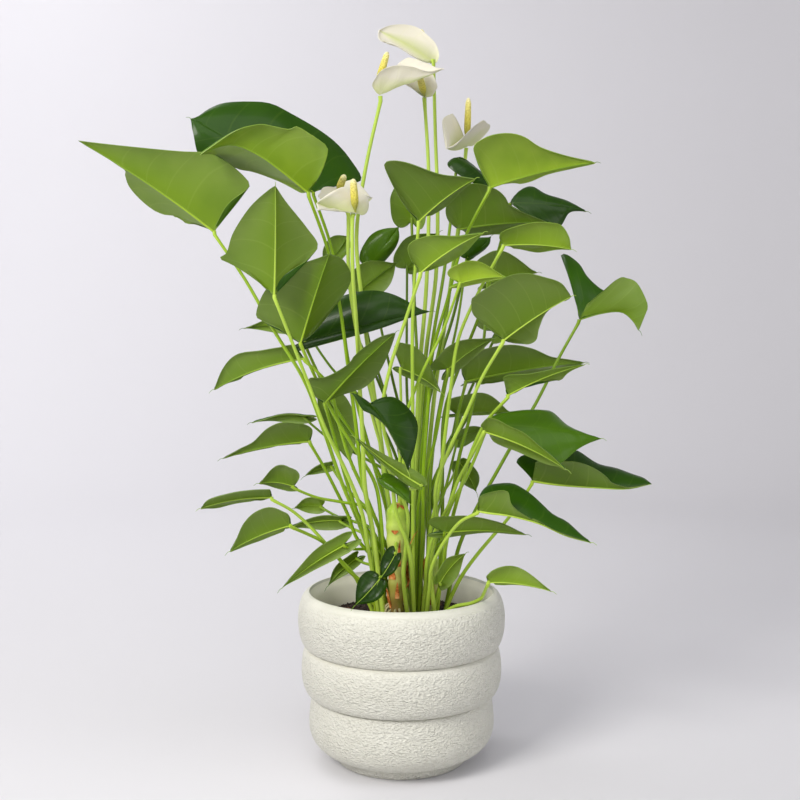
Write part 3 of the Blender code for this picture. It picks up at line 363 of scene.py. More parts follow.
TWIGS = {
    "shoot_front": (
        ((0, 412), (40, 388), (11, 436), (8, 402), (20, 8, 12, -10), "under", dict()),
        ((58, 497), (106, 503), (63, 519), (66, 495), (46, 6, 8, -8), "under", dict()),
        ((19, 294), (-47, 343), (3, 297), (14, 308), (105, 8, 5, -5), "under", dict(lobe=0.4)),
        ((-20, 301), (9, 276), (2, 300), (-12, 289), (100, 8, -6, 6), "upper", dict()),
        ((-21, 202), (-47, 174), (-40, 204), (-18, 185), (75, 12, -5, 5), "upper", dict(lobe=0.6)),
        ((-6, 226), (-22, 200), (-18, 225), (-4, 212), (70, 10, -3, 3), "upper", dict()),
    ),
    "shoot_right": (
        ((38, 197), (64, 227), (40, 216), (54, 202), (35, 5, 5, -5), "under", dict()),
        ((58, 318), (75, 288), (76, 310), (55, 302), (-70, 0, 5, -5), "under", dict()),
        ((55, 340), (86, 352), (60, 352), (68, 336), (-50, 0, 4, -4), "under", dict()),
        ((55, 366), (111, 367), (75, 388), (66, 365), (-80, 5, 10, -8), "under", dict(belly=0.3)),
        ((43, 248), (125, 246), (60, 266), (57, 246), (62, 8, 8, -10), "under", dict()),
        ((66, 522), (90, 544), (66, 538), (82, 528), (-96, 0, 4, -4), "upper", dict()),
    ),
    "shoot_left": (
        ((-108, 294), (-143, 297), (-118, 291), (-116, 316), (55, 5, -8, 8), "under", dict()),
        ((-61, 260), (-116, 252), (-72, 251), (-72, 265), (-25, 0, -5, 5), "under", dict()),
        ((-80, 274), (-108, 272), (-88, 266), (-89, 284), (-40, 0, -3, 5), "under", dict()),
        ((-70, 314), (-97, 304), (-76, 307), (-78, 318), (-60, 0, -3, 3), "under", dict()),
        ((-58, 235), (-120, 192), (-62, 223), (-78, 236), (52, 8, -4, 6), "under", dict()),
        ((-45, 222), (-74, 194), (-46, 212), (-60, 221), (-20, 0, -3, 3), "under", dict()),
    ),
    "shoot_back": (
        ((-98, 455), (-158, 452), (-108, 446), (-108, 466), (-70, 0, -5, 5), "under", dict()),
        ((-96, 363), (-150, 358), (-106, 358), (-106, 366), (-75, 0, -5, 5), "under", dict()),
        ((-74, 378), (-51, 316), (-46, 365), (-78, 355), (-52, 0, 0, 0), "under", dict()),
        ((-31, 516), (-2, 554), (-34, 542), (-8, 528), (-70, 0, 0, 0), "upper", dict()),
        ((-71, 518), (-52, 545), (-74, 540), (-54, 526), (-50, 0, 0, 0), "under", dict()),
        ((-43, 488), (-4, 518), (-44, 514), (-18, 488), (-35, 0, 5, -5), "under", dict()),
        ((5, 512), (38, 548), (0, 538), (32, 520), (-60, 0, 5, -5), "under", dict()),
    ),
}

# Each bloom: foot of the spathe, its tip, left edge, right edge, the fronts as above,
# the side that faces the eye, the spadix's tip, and the places that the stalk passes
BLOOMS = {
    "bloom_1": ((30, 718), (-23, 750), (3, 727), (22, 752), (-50, 15, 16, -8), "under",
                (20, 755, -14), ((36, 610), (36, 565), (34, 490), (24, 410))),
    "bloom_2": ((-22, 686), (42, 712), (14, 722), (-2, 714), (12, 10, -18, 12), "upper",
                (-14, 728, -2), ((-31, 640), (-39, 590), (-45, 540), (-36, 450))),
    "bloom_3": ((23, 683), (16, 716), (4, 706), (37, 703), (-32, -8, 10, 10), "upper",
                (17, 700, 6), ((27, 615), (26, 565), (28, 520), (20, 440))),
    "bloom_4": ((65, 634), (45, 632), (86, 658), (50, 662), (-76, 30, 0, 0), "upper",
                (67, 682, 0), ((62, 595), (47, 480), (31, 370))),
    "bloom_5": ((-55, 571), (-29, 582), (-50, 600), (-82, 588), (36, -12, -15, 5), "upper",
                (-56, 602, -4), ((-51, 545), (-50, 480))),
    "bloom_6": ((-47, 567), (-85, 577), (-62, 564), (-36, 588), (90, 18, 12, -12), "upper",
                (-48, 600, 2), ((-49, 520), (-45, 450), (-43, 400), (-41, 360), (-42, 300), (-27, 225))),
}
BLOOM_FEET = {"bloom_2": (-6, 14), "bloom_6": (-17, -38)}
SPATHE_SHAPE = {"arch": -3, "lobe": 0.6, "belly": 0.35, "wave": 0.02}
SPATHE_STAND_OFF = 0.8
SPATHE_RELIEF = 0.6
SPADIX_RADIUS = 3.6
SPADIX_RINGS = 40
SPADIX_SIDES = 20
SPADIX_TIP = 0.6
SPADIX_SMOOTH = 5
# How much of a spadix counts as its end, in millimetres, and how often its ends are looked for
SPADIX_END = 0.5
SPADIX_LOOKS = 3
SPADIX_PROFILE = (
    (0.0, 0.2),
    (0.08, 0.3),
    (0.22, 0.85),
    (0.35, 1.0),
    (0.65, 0.95),
    (0.93, 0.8),
    (1.0, 0.3),
)

# Where the board's axis and foot are in the photograph, 800 pixels wide
PICTURE_AXIS = 401.5
PICTURE_FOOT = 780.0
# Outlines read off the photograph, in its pixels: a blade's left half and right half,
# each from joint to tip, and its midrib where that isn't straight
DRAWN = {
    "leaf_01": (
        [(203, 228), (187, 223), (180, 217), (160, 209), (145, 198), (131, 184), (126, 174), (127, 165),
         (106, 153)],
        [(230, 203), (249, 188), (250, 181), (239, 171), (228, 163), (218, 158), (208, 154), (180, 152),
         (130, 145)],
        [],
    ),
    "leaf_02": (
        [(290, 184), (262, 172), (235, 158), (212, 156), (199, 152), (193, 134)],
        [(330, 186), (348, 184), (360, 181), (362, 174), (353, 160), (341, 146), (324, 133), (291, 115),
         (271, 105), (250, 102), (224, 102), (208, 108), (197, 116)],
        [],
    ),
    "leaf_03": (
        [(302, 193), (283, 184), (253, 169), (231, 160)],
        [(318, 180), (326, 163), (329, 147), (321, 140), (309, 133), (297, 127), (288, 130), (275, 127),
         (262, 124), (250, 125), (224, 135)],
        [(281, 170), (258, 154), (231, 144)],
    ),
    "leaf_04": (
        [(265, 289), (256, 281), (239, 267), (221, 257), (228, 250), (234, 231), (250, 207), (268, 190)],
        [(277, 283), (292, 270), (309, 259), (318, 245), (306, 228), (286, 201)],
        [],
    ),
    "leaf_05": (
        [(290, 338), (280, 330), (262, 321), (256, 313), (266, 290), (290, 268)],
        [(312, 335), (330, 315), (343, 297), (350, 278), (343, 260)],
        [],
    ),
    "leaf_07": (
        [(285, 362), (259, 368), (238, 378)],
        [(295, 346), (288, 344), (262, 351), (238, 356), (222, 370)],
        [],
    ),
    "leaf_08": (
        [(312, 395), (307, 386), (310, 379), (326, 375), (347, 363), (355, 353), (376, 338)],
        [(329, 401), (344, 392), (361, 386), (376, 373), (388, 354)],
        [],
    ),
    "leaf_09": (
        [(378, 399), (388, 396), (398, 397), (411, 407), (419, 422), (416, 444)],
        [(362, 396), (351, 393), (353, 400), (361, 413), (376, 417), (389, 423), (398, 432), (405, 450)],
        [],
    ),
    "leaf_10": (
        [(405, 207), (393, 188), (384, 168), (390, 162), (410, 163), (440, 172), (460, 175)],
        [(432, 214), (447, 203), (462, 189)],
        [],
    ),
    "leaf_11": (
        [(480, 170), (473, 150), (485, 139), (506, 133), (524, 135), (541, 145), (565, 154)],
        [(502, 184), (525, 180), (547, 173), (570, 168)],
        [],
    ),
    "leaf_13": (
        [(449, 222), (445, 210), (450, 198), (470, 185), (494, 188), (505, 195), (512, 205), (530, 214)],
        [(470, 234), (489, 232), (510, 229), (530, 226)],
        [],
    ),
    "leaf_14": (
        [(515, 195), (524, 188), (533, 187), (547, 193), (568, 199)],
        [(525, 215), (541, 220), (555, 226), (562, 223), (571, 212)],
        [],
    ),
    "leaf_15": (
        [(499, 238), (502, 230), (515, 225), (533, 222), (550, 223), (562, 226), (570, 237)],
        [(510, 248), (518, 249), (536, 251), (555, 249)],
        [],
    ),
    "leaf_16": (
        [(412, 262), (407, 248), (412, 240), (430, 236), (455, 235), (470, 233)],
        [(432, 270), (447, 264), (462, 253), (474, 241)],
        [],
    ),
    "leaf_18": (
        [(493, 333), (474, 315), (471, 301), (474, 295), (503, 278), (524, 273), (544, 276), (562, 282),
         (569, 289)],
        [(515, 344), (527, 345), (536, 340), (540, 326), (547, 312), (559, 302)],
        [],
    ),
    "leaf_19": (
        [(577, 308), (571, 279), (560, 258), (566, 254), (580, 263), (590, 277), (608, 292)],
        [(590, 303), (605, 289), (621, 276), (627, 277), (643, 293), (648, 309)],
        [(600, 313), (620, 311), (631, 318)],
    ),
    "leaf_21": (
        [(461, 372), (463, 364), (480, 350), (509, 342), (530, 346), (550, 356), (568, 359)],
        [(490, 381), (520, 378), (550, 371)],
        [],
    ),
    "leaf_22": (
        [(504, 384), (506, 375), (533, 371), (560, 367)],
        [(514, 392), (521, 387), (533, 382), (559, 380), (570, 370)],
        [],
    ),
    "leaf_23": (
        [(490, 418), (498, 413), (520, 411), (540, 411), (553, 413), (571, 425), (588, 434)],
        [(495, 432), (509, 439), (525, 447), (538, 456), (558, 461), (577, 450), (590, 443)],
        [],
    ),
    "leaf_24": (
        [(481, 424), (486, 418), (493, 419), (509, 427), (524, 433), (540, 444), (555, 456)],
        [(495, 440), (515, 446), (535, 455), (552, 463)],
        [],
    ),
    "leaf_25": (
        [(525, 470), (516, 463), (525, 456), (563, 454), (577, 450), (599, 461), (619, 466), (640, 476)],
        [(536, 466), (540, 457), (569, 457), (584, 462), (606, 477), (613, 483), (632, 487)],
        [(560, 484), (600, 487), (628, 488)],
    ),
    "leaf_26": (
        [(478, 500), (481, 490), (487, 483), (497, 481), (512, 482), (524, 490), (550, 512), (569, 522)],
        [(478, 503), (481, 496), (505, 493), (512, 503), (524, 513), (540, 523), (566, 534)],
        [(489, 512), (511, 515), (540, 523), (566, 535)],
    ),
    "leaf_27": (
        [(486, 576), (492, 569), (502, 566), (515, 567), (532, 575), (544, 584)],
        [(496, 584), (510, 583), (530, 584), (543, 588)],
        [],
    ),
    "leaf_28": (
        [(300, 443), (288, 443), (260, 448), (240, 452)],
        [(313, 434), (311, 427), (300, 421), (282, 420), (269, 426), (254, 441), (240, 448)],
        [],
    ),
    "leaf_29": (
        [(262, 500), (245, 503), (222, 505)],
        [(270, 490), (263, 488), (234, 489), (209, 499)],
        [],
    ),
    "leaf_30": (
        [(284, 531), (268, 536), (250, 542), (238, 547)],
        [(290, 516), (284, 511), (270, 505), (255, 510), (244, 522), (236, 538)],
        [],
    ),
    "bloom_1": (
        [(427, 62), (418, 59), (408, 54), (399, 48.5), (389, 43.5), (382, 43), (379, 40), (378, 33)],
        [(434, 64), (437, 62), (438.5, 56), (436, 46), (429, 37), (420, 29), (412, 25.5), (402, 24.5),
         (389, 26)],
        [(423, 55), (408, 45.5), (393, 38), (382, 32.5)],
    ),
    "bloom_2": (
        [(380, 84), (395, 68), (402, 61), (406, 57), (411, 57), (420, 60), (429, 64), (437, 68)],
        [(376, 92), (372, 84), (376, 75), (382, 69), (391, 66.5), (402, 66.5), (413, 67.5), (422, 70),
         (432, 71)],
        [(386, 92), (394, 88), (404, 84), (412, 82), (421, 78), (430, 75)],
    ),
    "bloom_3": (
        [(420, 95), (413, 89.5), (406.5, 84.5), (404, 76), (408, 70)],
        [(431, 96.5), (435, 90.5), (437, 86), (435, 80), (432, 74), (426, 68)],
        [],
    ),
    "bloom_4": (
        [(474, 144), (487, 137), (489, 128), (484, 119), (475, 128), (464, 138), (454, 145)],
        [(464, 140), (459, 131), (455, 119), (452, 113), (443, 121), (440, 129), (443, 141)],
        [],
    ),
    "bloom_5": (
        [],
        [(335, 207), (319, 198), (319, 193), (328, 187), (342, 179), (348, 175), (354, 177), (360, 184),
         (368, 190)],
        [],
    ),
    "bloom_6": (
        [(352, 212), (344, 211), (334, 209), (325, 210), (318, 210)],
        [(362, 216), (368, 211), (369, 204), (366, 195), (357, 191), (348, 187), (338, 188), (331, 191),
         (325, 192), (318, 197)],
        [],
    ),
}

# How light and young a leaf is, from 0 to 1. The other leaves get a tone by chance
TONES = {"leaf_01": 0.52, "leaf_02": 0.25, "leaf_03": 0.6, "leaf_04": 0.4, "leaf_05": 0.25,
         "leaf_06": 0.1, "leaf_07": 0.35, "leaf_08": 0.15, "leaf_09": 0.05, "leaf_10": 0.25,
         "leaf_11": 0.75, "leaf_12": 0.1, "leaf_13": 0.2, "leaf_14": 0.1, "leaf_15": 0.6,
         "leaf_16": 0.55, "leaf_17": 0.4, "leaf_18": 0.25, "leaf_19": 0.35, "leaf_20": 0.3,
         "leaf_21": 0.3, "leaf_22": 0.4, "leaf_23": 0.5, "leaf_24": 0.4, "leaf_25": 0.15,
         "leaf_26": 0.3, "leaf_27": 0.55, "leaf_28": 0.25, "leaf_29": 0.35, "leaf_30": 0.35,
         "shoot_front_1": 0.95, "shoot_front_4": 0.05, "shoot_front_5": 0.05}
# The tones that chance chooses from: a large leaf's, and a small one's
USUAL_TONE = (0.25, 0.45)
YOUNG_TONE = (0.25, 0.55)
MIDDLE_TONE = 0.5
# A stalk's tone: lighter in front than behind, as painted light and painted shade, with some chance, and
# within these bounds
STALK_TONE = 0.46
SHADE_BEHIND = 0.014
TONE_CHANCE = 0.2
TONE_BOUNDS = (0.05, 0.9)
# Small leaves whose edges are given the other way round, so that their upper face is seen
FACE_UP = ("shoot_front_4", "shoot_front_5")

# Papery sheaths and scars: (crown, angle from the front, foot, tip, width, how far the tip stands off)
SHEATHS = (
    ("shoot_front", 3, 262, 257, 7, 0.2), ("shoot_front", 55, 260, 256, 6, 0.2),
    ("shoot_front", -8, 236, 232, 7, 0.2), ("shoot_front", 75, 203, 235, 4, 11),
    ("shoot_front", 15, 200, 227, 4, 3), ("shoot_front", -35, 187, 204, 8, 1.5),
    ("shoot_front", 70, 166, 190, 6, 8), ("shoot_front", 5, 168, 185, 4, 2),
    ("shoot_front", -60, 158, 180, 6, 4), ("shoot_right", -40, 172, 205, 5, 5),
    ("shoot_right", 10, 150, 185, 6, 4), ("shoot_right", -80, 150, 172, 6, 5),
    ("shoot_left", 20, 152, 190, 6, 4), ("shoot_left", 80, 150, 178, 6, 4),
    ("shoot_back", 0, 152, 196, 6, 4),
)


# The stage, in metres: a round floor, its sweep up to the backdrop, and the backdrop's height
FLOOR_REACH = 1.7
SWEEP = 1.3
SWEEP_STEPS = 12
BACKDROP_HEIGHT = 3.4
BACKDROP_SIDES = 96
FLOOR_SUNK = 0.0005
# Soft boxes: (name, place, what it is turned to, width and height, watts, colour)
MIDDLE = (0.0, 0.0, 0.35)
SOFT_BOXES = (
    ("soft_box_left", (-1.15, -1.4, 1.5), MIDDLE, (0.8, 0.8), 35.0, "#FFFDF8"),
    ("soft_box_front", (0.3, -2.4, 0.9), (0.0, 0.0, 0.2), (1.0, 0.8), 7.5, "#FFFFFF"),
    ("soft_box_right", (1.5, -0.6, 1.0), MIDDLE, (0.9, 1.4), 4.5, "#F6F8FF"),
    ("soft_box_top", (0.1, -0.9, 1.9), MIDDLE, (1.2, 1.2), 8.0, "#FFFFFF"),
    ("soft_box_backdrop", (-1.0, 1.0, 2.2), (-0.5, 3.0, 0.6), (1.5, 1.5), 27.0, "#FFFEFF"),
)
AIR_LIGHT = 0.25


def sight(across, up, front):
    """The point this far in front of the axis that the eye sees at a place of the board."""
    right = (across + EYE_LEFT) / EYE_AWAY
    rise = (up - EYE_ON_BOARD) / EYE_AWAY
    reach = (EYE_AWAY - front) / (math.cos(EYE_DOWN) + rise * math.sin(EYE_DOWN))
    height = EYE_UP + reach * (rise * math.cos(EYE_DOWN) - math.sin(EYE_DOWN))
    return np.array((reach * right - EYE_LEFT, -front, height))


def unit(vector):
    """The same way, one long."""
    return vector / max(np.linalg.norm(vector), 1e-9)


def smooth_curve(knots, count):
    """A curve through the knots, as `count` points evenly spaced along it."""
    knots = np.array(knots, dtype=float)
    padded = np.vstack([2 * knots[0] - knots[1], knots, 2 * knots[-1] - knots[-2]])
    fine = []
    for index in range(1, len(padded) - 2):
        before, start, end, after = padded[index - 1:index + 3]
        for t in np.linspace(0, 1, 12, endpoint=False):
            fine.append(0.5 * (2 * start + (end - before) * t
                               + (2 * before - 5 * start + 4 * end - after) * t ** 2
                               + (3 * start - before - 3 * end + after) * t ** 3))
    fine = np.array(fine + [knots[-1]])
    run = np.concatenate([[0], np.cumsum(np.linalg.norm(np.diff(fine, axis=0), axis=1))])
    even = np.linspace(0, run[-1], count)
    return np.stack([np.interp(even, run, fine[:, axis]) for axis in range(fine.shape[1])], axis=1)


def pair(value):
    """One value for each half of a blade."""
    return value if isinstance(value, tuple) else (value, value)


def board_place(pixel):
    """The place on the board of a pixel of the photograph."""
    return pixel[0] - PICTURE_AXIS, PICTURE_FOOT - pixel[1]


def on_board(point):
    """The place of the board where the eye sees a point."""
    away = point - np.array((-EYE_LEFT, -EYE_AWAY, EYE_UP))
    depth = away[1] * math.cos(EYE_DOWN) - away[2] * math.sin(EYE_DOWN)
    rise = away[1] * math.sin(EYE_DOWN) + away[2] * math.cos(EYE_DOWN)
    return np.array((away[0] / depth * EYE_AWAY - EYE_LEFT, rise / depth * EYE_AWAY + EYE_ON_BOARD))


class Blade:
    """The middle surface of a leaf or spathe, from its places on the board."""

    def __init__(self, joint, tip, left, right, fronts, seen, **more):
        front, tip_near, left_near, right_near = fronts
        self.joint = sight(*joint, front)
        self.tip = sight(*tip, front + tip_near)
        self.front = front
        self.bow = more.get("arch", USUAL_ARCH)
        self.via = more.get("via", ())
        self.wave = more.get("wave", WAVE)
        self.belly = pair(more.get("belly", USUAL_BELLY))
        self.lobe = pair(more.get("lobe", 1.0))
        self.full = pair(more.get("full", 1.0))
        edges = [sight(*left, front + left_near), sight(*right, front + right_near)]
        self.up = unit(np.cross(self.tip - self.joint, edges[0] - edges[1]))
        if seen == "under":
            self.up = -self.up
        self.length = np.linalg.norm(self.tip - self.joint)
        self.sides = [edge - self.rib(belly) for edge, belly in zip(edges, self.belly)]

    def rib(self, share):
        """A point of the midrib. It runs on straight behind the joint."""
        bow = self.bow * 4 * share * (1 - share) if share > 0 else 0.0
        return self.joint + (self.tip - self.joint) * share + self.up * bow

    def place(self, half, along, out):
        """Moves a place of the usual outline to this half's own: belly, lobe and fullness."""
        belly = self.belly[half]
        if along < USUAL_BELLY:
            lobed = along * belly / USUAL_BELLY if along > 0 else along
            wedge = belly * out ** LOBE_WEDGE
            return wedge + (lobed - wedge) * self.lobe[half], out
        beyond = (along - USUAL_BELLY) / (1 - USUAL_BELLY)
        return belly + beyond * (1 - belly), out ** self.full[half]

    def outline(self, half, steps):
        """A half's outline from joint to tip, as shares along the midrib and out from it."""
        usual = [(along, max(out, 0.0)) for along, out in smooth_curve(OUTLINE, steps + 1)]
        return [self.place(half, *place) for place in usual]

    def grid(self, steps, rows):
        """Both halves as lists of lines from the midrib to the edge."""
        places = [self.outline(half, steps) for half in range(2)]
        joined = sum(self.belly) / 2 + PAST_BELLY
        halves = []
        for half, side in enumerate(self.sides):
            width = np.linalg.norm(side)
            lines = []
            for step, (along, out) in enumerate(places[half]):
                middle = (places[0][step][0] + places[1][step][0]) / 2
                foot = self.rib(min(max((middle - joined) / (1 - joined), 0.0), 1.0))
                phase = WAVE_TURNS * step / steps + WAVE_SHIFT * half + self.front
                wave = self.wave * self.length * math.sin(phase)
                edge = self.rib(along) + side * out + self.up * wave * out
                line = []
                for row in range(1, rows + 1):
                    share = row / rows
                    puff = PUFF * width * share * (1 - share) * out
                    line.append(foot + (edge - foot) * share + self.up * puff)
                lines.append((foot, line))
            halves.append(lines)
        return halves


class DrawnBlade(Blade):
    """A blade whose halves and midrib follow the outlines read off the photograph."""

    spine = None

    def __init__(self, name, *places, **more):
        super().__init__(*places, **more)
        left, right, middle = DRAWN.get(name, ((), (), ()))
        _, _, *edges, (front, tip_near, left_near, right_near), _ = places
        self.drawn = [[board_place(pixel) for pixel in half] for half in (left, right)]
        if middle:
            knots = [self.joint]
            for number, pixel in enumerate(middle):
                share = (number + 1) / (len(middle) + 1)
                knots.append(sight(*board_place(pixel), front + tip_near * share))
            self.spine = smooth_curve(knots + [self.tip], SPINE_POINTS)
            nears = (left_near, right_near)
            points = [sight(*edge, front + near) for edge, near in zip(edges, nears)]
            self.sides = [point - self.rib(belly) for point, belly in zip(points, self.belly)]

    def rib(self, share):
        if self.spine is None:
            return super().rib(share)
        if share < 0:
            start = self.spine[SPINE_START] - self.joint
            return self.joint + start * share * ((SPINE_POINTS - 1) / SPINE_START)
        run = np.linspace(0, 1, len(self.spine))
        return np.array([np.interp(share, run, self.spine[:, axis]) for axis in range(3)])

    def outline(self, half, steps):
        """The half's outline as drawn, worked out in the half's own plane."""
        if not self.drawn[half]:
            return super().outline(half, steps)
        side = self.sides[half]
        shares = np.linspace(BEHIND_JOINT, 1.0, EDGE_PLACES)
        feet = np.array([on_board(self.rib(share)) for share in shares])
        ways = np.array([on_board(self.rib(share) + side) for share in shares]) - feet
        last = 0.0
        knots = [(0.0, 0.0)]
        for place in self.drawn[half]:
            away = np.array(place) - feet
            off = ways[:, 0] * away[:, 1] - ways[:, 1] * away[:, 0]
            crossings = np.flatnonzero(np.sign(off[:-1]) != np.sign(off[1:]))
            if not len(crossings):
                continue
            exact = shares[crossings] + (shares[1] - shares[0]) * off[crossings] / (
                off[crossings] - off[crossings + 1])
            best = np.abs(exact - last).argmin()
            spot = crossings[best]
            out = float(away[spot] @ ways[spot] / (ways[spot] @ ways[spot]))
            last = float(exact[best])
            knots.append((last, min(max(out, 0.0), MOST_OUT)))
        edge = smooth_curve(knots + [(1.0, 0.0)], steps + 1)
        return [(along, max(out, 0.0)) for along, out in edge]


def swell(lower, upper, radius, fullness):
    """Points up one swelling from its lower groove. The upper groove's own point is left out."""
    low_radius, low = lower
    high_radius, high = upper
    points = []
    for step in range(SWELL_STEPS):
        angle = math.pi * (step / SWELL_STEPS - 0.5)
        share = 0.5 + 0.5 * math.sin(angle)
        base = low_radius + (high_radius - low_radius) * share
        bulge = math.cos(angle) ** fullness[0 if angle < 0 else 1]
        points.append((base + (radius - base) * bulge, low + (high - low) * share))
    return points


def pot_profile():
    """The pot's half section, from the middle of the underside round to the middle of the floor."""
    edges = (*GROOVES, (CREST_RADIUS, POT_HEIGHT))
    points = [(0.0, 0.0), (FOOT_RADIUS - FOOT_BEVEL, 0.0), (FOOT_RADIUS, FOOT_BEVEL)]
    points.append((FOOT_RADIUS, FOOT_HEIGHT))
    for lower, upper, radius, fullness in zip(edges, edges[1:], SWELL_RADII, FULLNESS):
        points += swell(lower, upper, radius, fullness)
    points.append(edges[-1])
    for step in range(1, LIP_STEPS + 1):
        angle = math.pi / 2 * step / LIP_STEPS
        points.append((OPENING_RADIUS + (CREST_RADIUS - OPENING_RADIUS) * math.cos(angle),
                       POT_HEIGHT - LIP_DEPTH * (1 - math.cos(angle)) ** LIP_ROUNDING))
    return points + list(INSIDE[::-1])


def turned(profile, sides):
    """Vertices and faces of a solid turned round the upright axis."""
    vertices = []
    rings = []
    for radius, height in profile:
        if radius == 0:
            rings.append([len(vertices)] * sides)
            vertices.append((0.0, 0.0, height))
            continue
        rings.append(list(range(len(vertices), len(vertices) + sides)))
        for step in range(sides):
            angle = 2 * math.pi * (step + 0.5) / sides
            vertices.append((radius * math.cos(angle), radius * math.sin(angle), height))
    faces = []
    for lower, upper in zip(rings, rings[1:]):
        for step in range(sides):
            after = (step + 1) % sides
            corners = [lower[step], lower[after], upper[after], upper[step]]
            faces.append(list(dict.fromkeys(corners)))
    return vertices, faces


def soil_height(x, y):
    """The soil's uneven top: a low mound with lumps."""
    reach = min(math.hypot(x, y) / OPENING_RADIUS, 1.0)
    high, across, deep = BROAD_LUMPS
    lumps = high * math.sin(across * x + 1.0) * math.cos(deep * y)
    high, across, deep = FINE_LUMPS
    lumps += high * math.sin(across * x - deep * y)
    return SOIL_EDGE + SOIL_MOUND * (1 - reach ** 2) + lumps * (1 - reach ** 4)


class Stalk:
    """A stalk's route, from the soil or from a crown to the blade that it carries."""

    def __init__(self, node, blade, end, steps, crown=None, foot=None):
        self.node = node
        self.blade = blade
        self.end = end
        self.steps = steps
        self.crown = crown
        self.foot = foot
        self.spot = crown[:2] if crown else None
        self.points = None
        self.drawn = None
        self.sides = {}

    def lay(self):
        """The first route: up from the spot, past the given places, to the end."""
        x, y = self.spot
        if self.crown is None:
            ground = soil_height(x, y)
            knots = [(x, y, ground - HOLE_DEPTH), (x, y, ground + 2)]
        else:
            knots = [self.crown]
        low = np.array(knots[-1], dtype=float)
        way = self.end - low
        upright = np.array((0, 0, np.linalg.norm(way)))
        places = []
        for across, up in self.blade.via[::-1]:
            share = (sight(across, up, 0)[2] - low[2]) / (self.end[2] - low[2])
            front = -low[1] + (self.blade.front + low[1]) * share ** FORWARD_LATE
            places.append(sight(across, up, front))
        if places:
            along, rise = FIRST_KNOT
            places.insert(0, low + (places[0] - low) * along + upright * rise)
        else:
            places.append(low + upright * LOW_KNOT[1] + way * LOW_KNOT[0])
            places.append(low + way * HIGH_KNOT[0] + upright * HIGH_KNOT[1])
        knots += places + [self.end - self.blade.up * RUN_IN]
        self.points = smooth_curve(knots, self.steps)
        if self.crown is None:
            self.points[0] = knots[0]
            self.points[1] = (x, y, soil_height(x, y) + 1)
        self.drawn = self.points[:, 0].copy()

    def radius(self, share):
        return STALK_FOOT_RADIUS + (STALK_TOP_RADIUS - STALK_FOOT_RADIUS) * share

    def samples(self):
        """Steps along the stalk and points there, some between each two knots."""
        last = len(self.points) - 1
        steps = np.linspace(0, last, last * BEND_PARTS + 1)
        lines = [np.interp(steps, range(last + 1), self.points[:, axis]) for axis in range(3)]
        return steps, np.stack(lines, axis=1)

    def give_way(self, move, weight, smooth):
        """Moves the knots as they are pushed. The ends stay. Returns the longest move."""
        move = move / np.maximum(weight, LEAST_WEIGHT)[:, None]
        move[-1] = 0
        move[0] = 0
        if self.crown is None:
            move[1] = 0
        self.points = self.points + move
        aside = np.clip(self.points[:, 0] - self.drawn, -MOST_ASIDE, MOST_ASIDE)
        self.points[:, 0] = self.drawn + aside
        if smooth:
            bend = self.points[1:-2] + self.points[3:] - 2 * self.points[2:-1]
            self.points[2:-1, 1] += SMOOTHING * bend[:, 1]
        return np.abs(move).max()


def choose_spots(stalks):
    """Spreads the stalks' feet over the crown, each towards what it carries."""
    free = [stalk for stalk in stalks if stalk.crown is None]
    spots = []
    radii = []
    for stalk in free:
        tall = (min(stalk.end[2], TALL_STALK) - POT_HEIGHT) / (TALL_STALK - POT_HEIGHT)
        x = CROWN_CENTRE[0] + stalk.end[0] * (FOOT_LEAN_LOW + (FOOT_LEAN_TALL - FOOT_LEAN_LOW) * tall)
        y = CROWN_CENTRE[1] + stalk.end[1] * FOOT_LEAN_DEEP
        spots.append(stalk.foot or (x, y))
        radii.append(STALK_FOOT_RADIUS)
    for across, front, _, radius in CROWNS.values():
        spots.append((across, -front))
        radii.append(radius * CROWN_GIRTH + CROWN_ROOM)
    spots = np.array(spots, dtype=float)
    radii = np.array(radii)
    fixed = len(free)
    need = radii[:, None] + radii[None, :] + SPOT_ROOM
    for _ in range(SPOT_ROUNDS):
        offset = spots[:, None] - spots[None, :]
        distance = np.linalg.norm(offset, axis=2) + np.eye(len(spots)) * FAR
        push = np.clip(need - distance, 0, None) / distance
        move = (offset * push[:, :, None]).sum(axis=1) * SPOT_PUSH
        spots[:fixed] += move[:fixed]
        inward = spots - np.array(CROWN_CENTRE)
        far = np.linalg.norm(inward, axis=1)
        over = np.clip(far - CROWN_REACH, 0, None) / far
        spots[:fixed] -= (inward * over[:, None])[:fixed] * SPOT_PULL
    for stalk, spot in zip(free, spots):
        stalk.spot = tuple(spot)


def search_tree(points):
    """A tree that finds the points near a place."""
    tree = KDTree(len(points))
    for number, point in enumerate(points):
        tree.insert(Vector(point), number)
    tree.balance()
    return tree


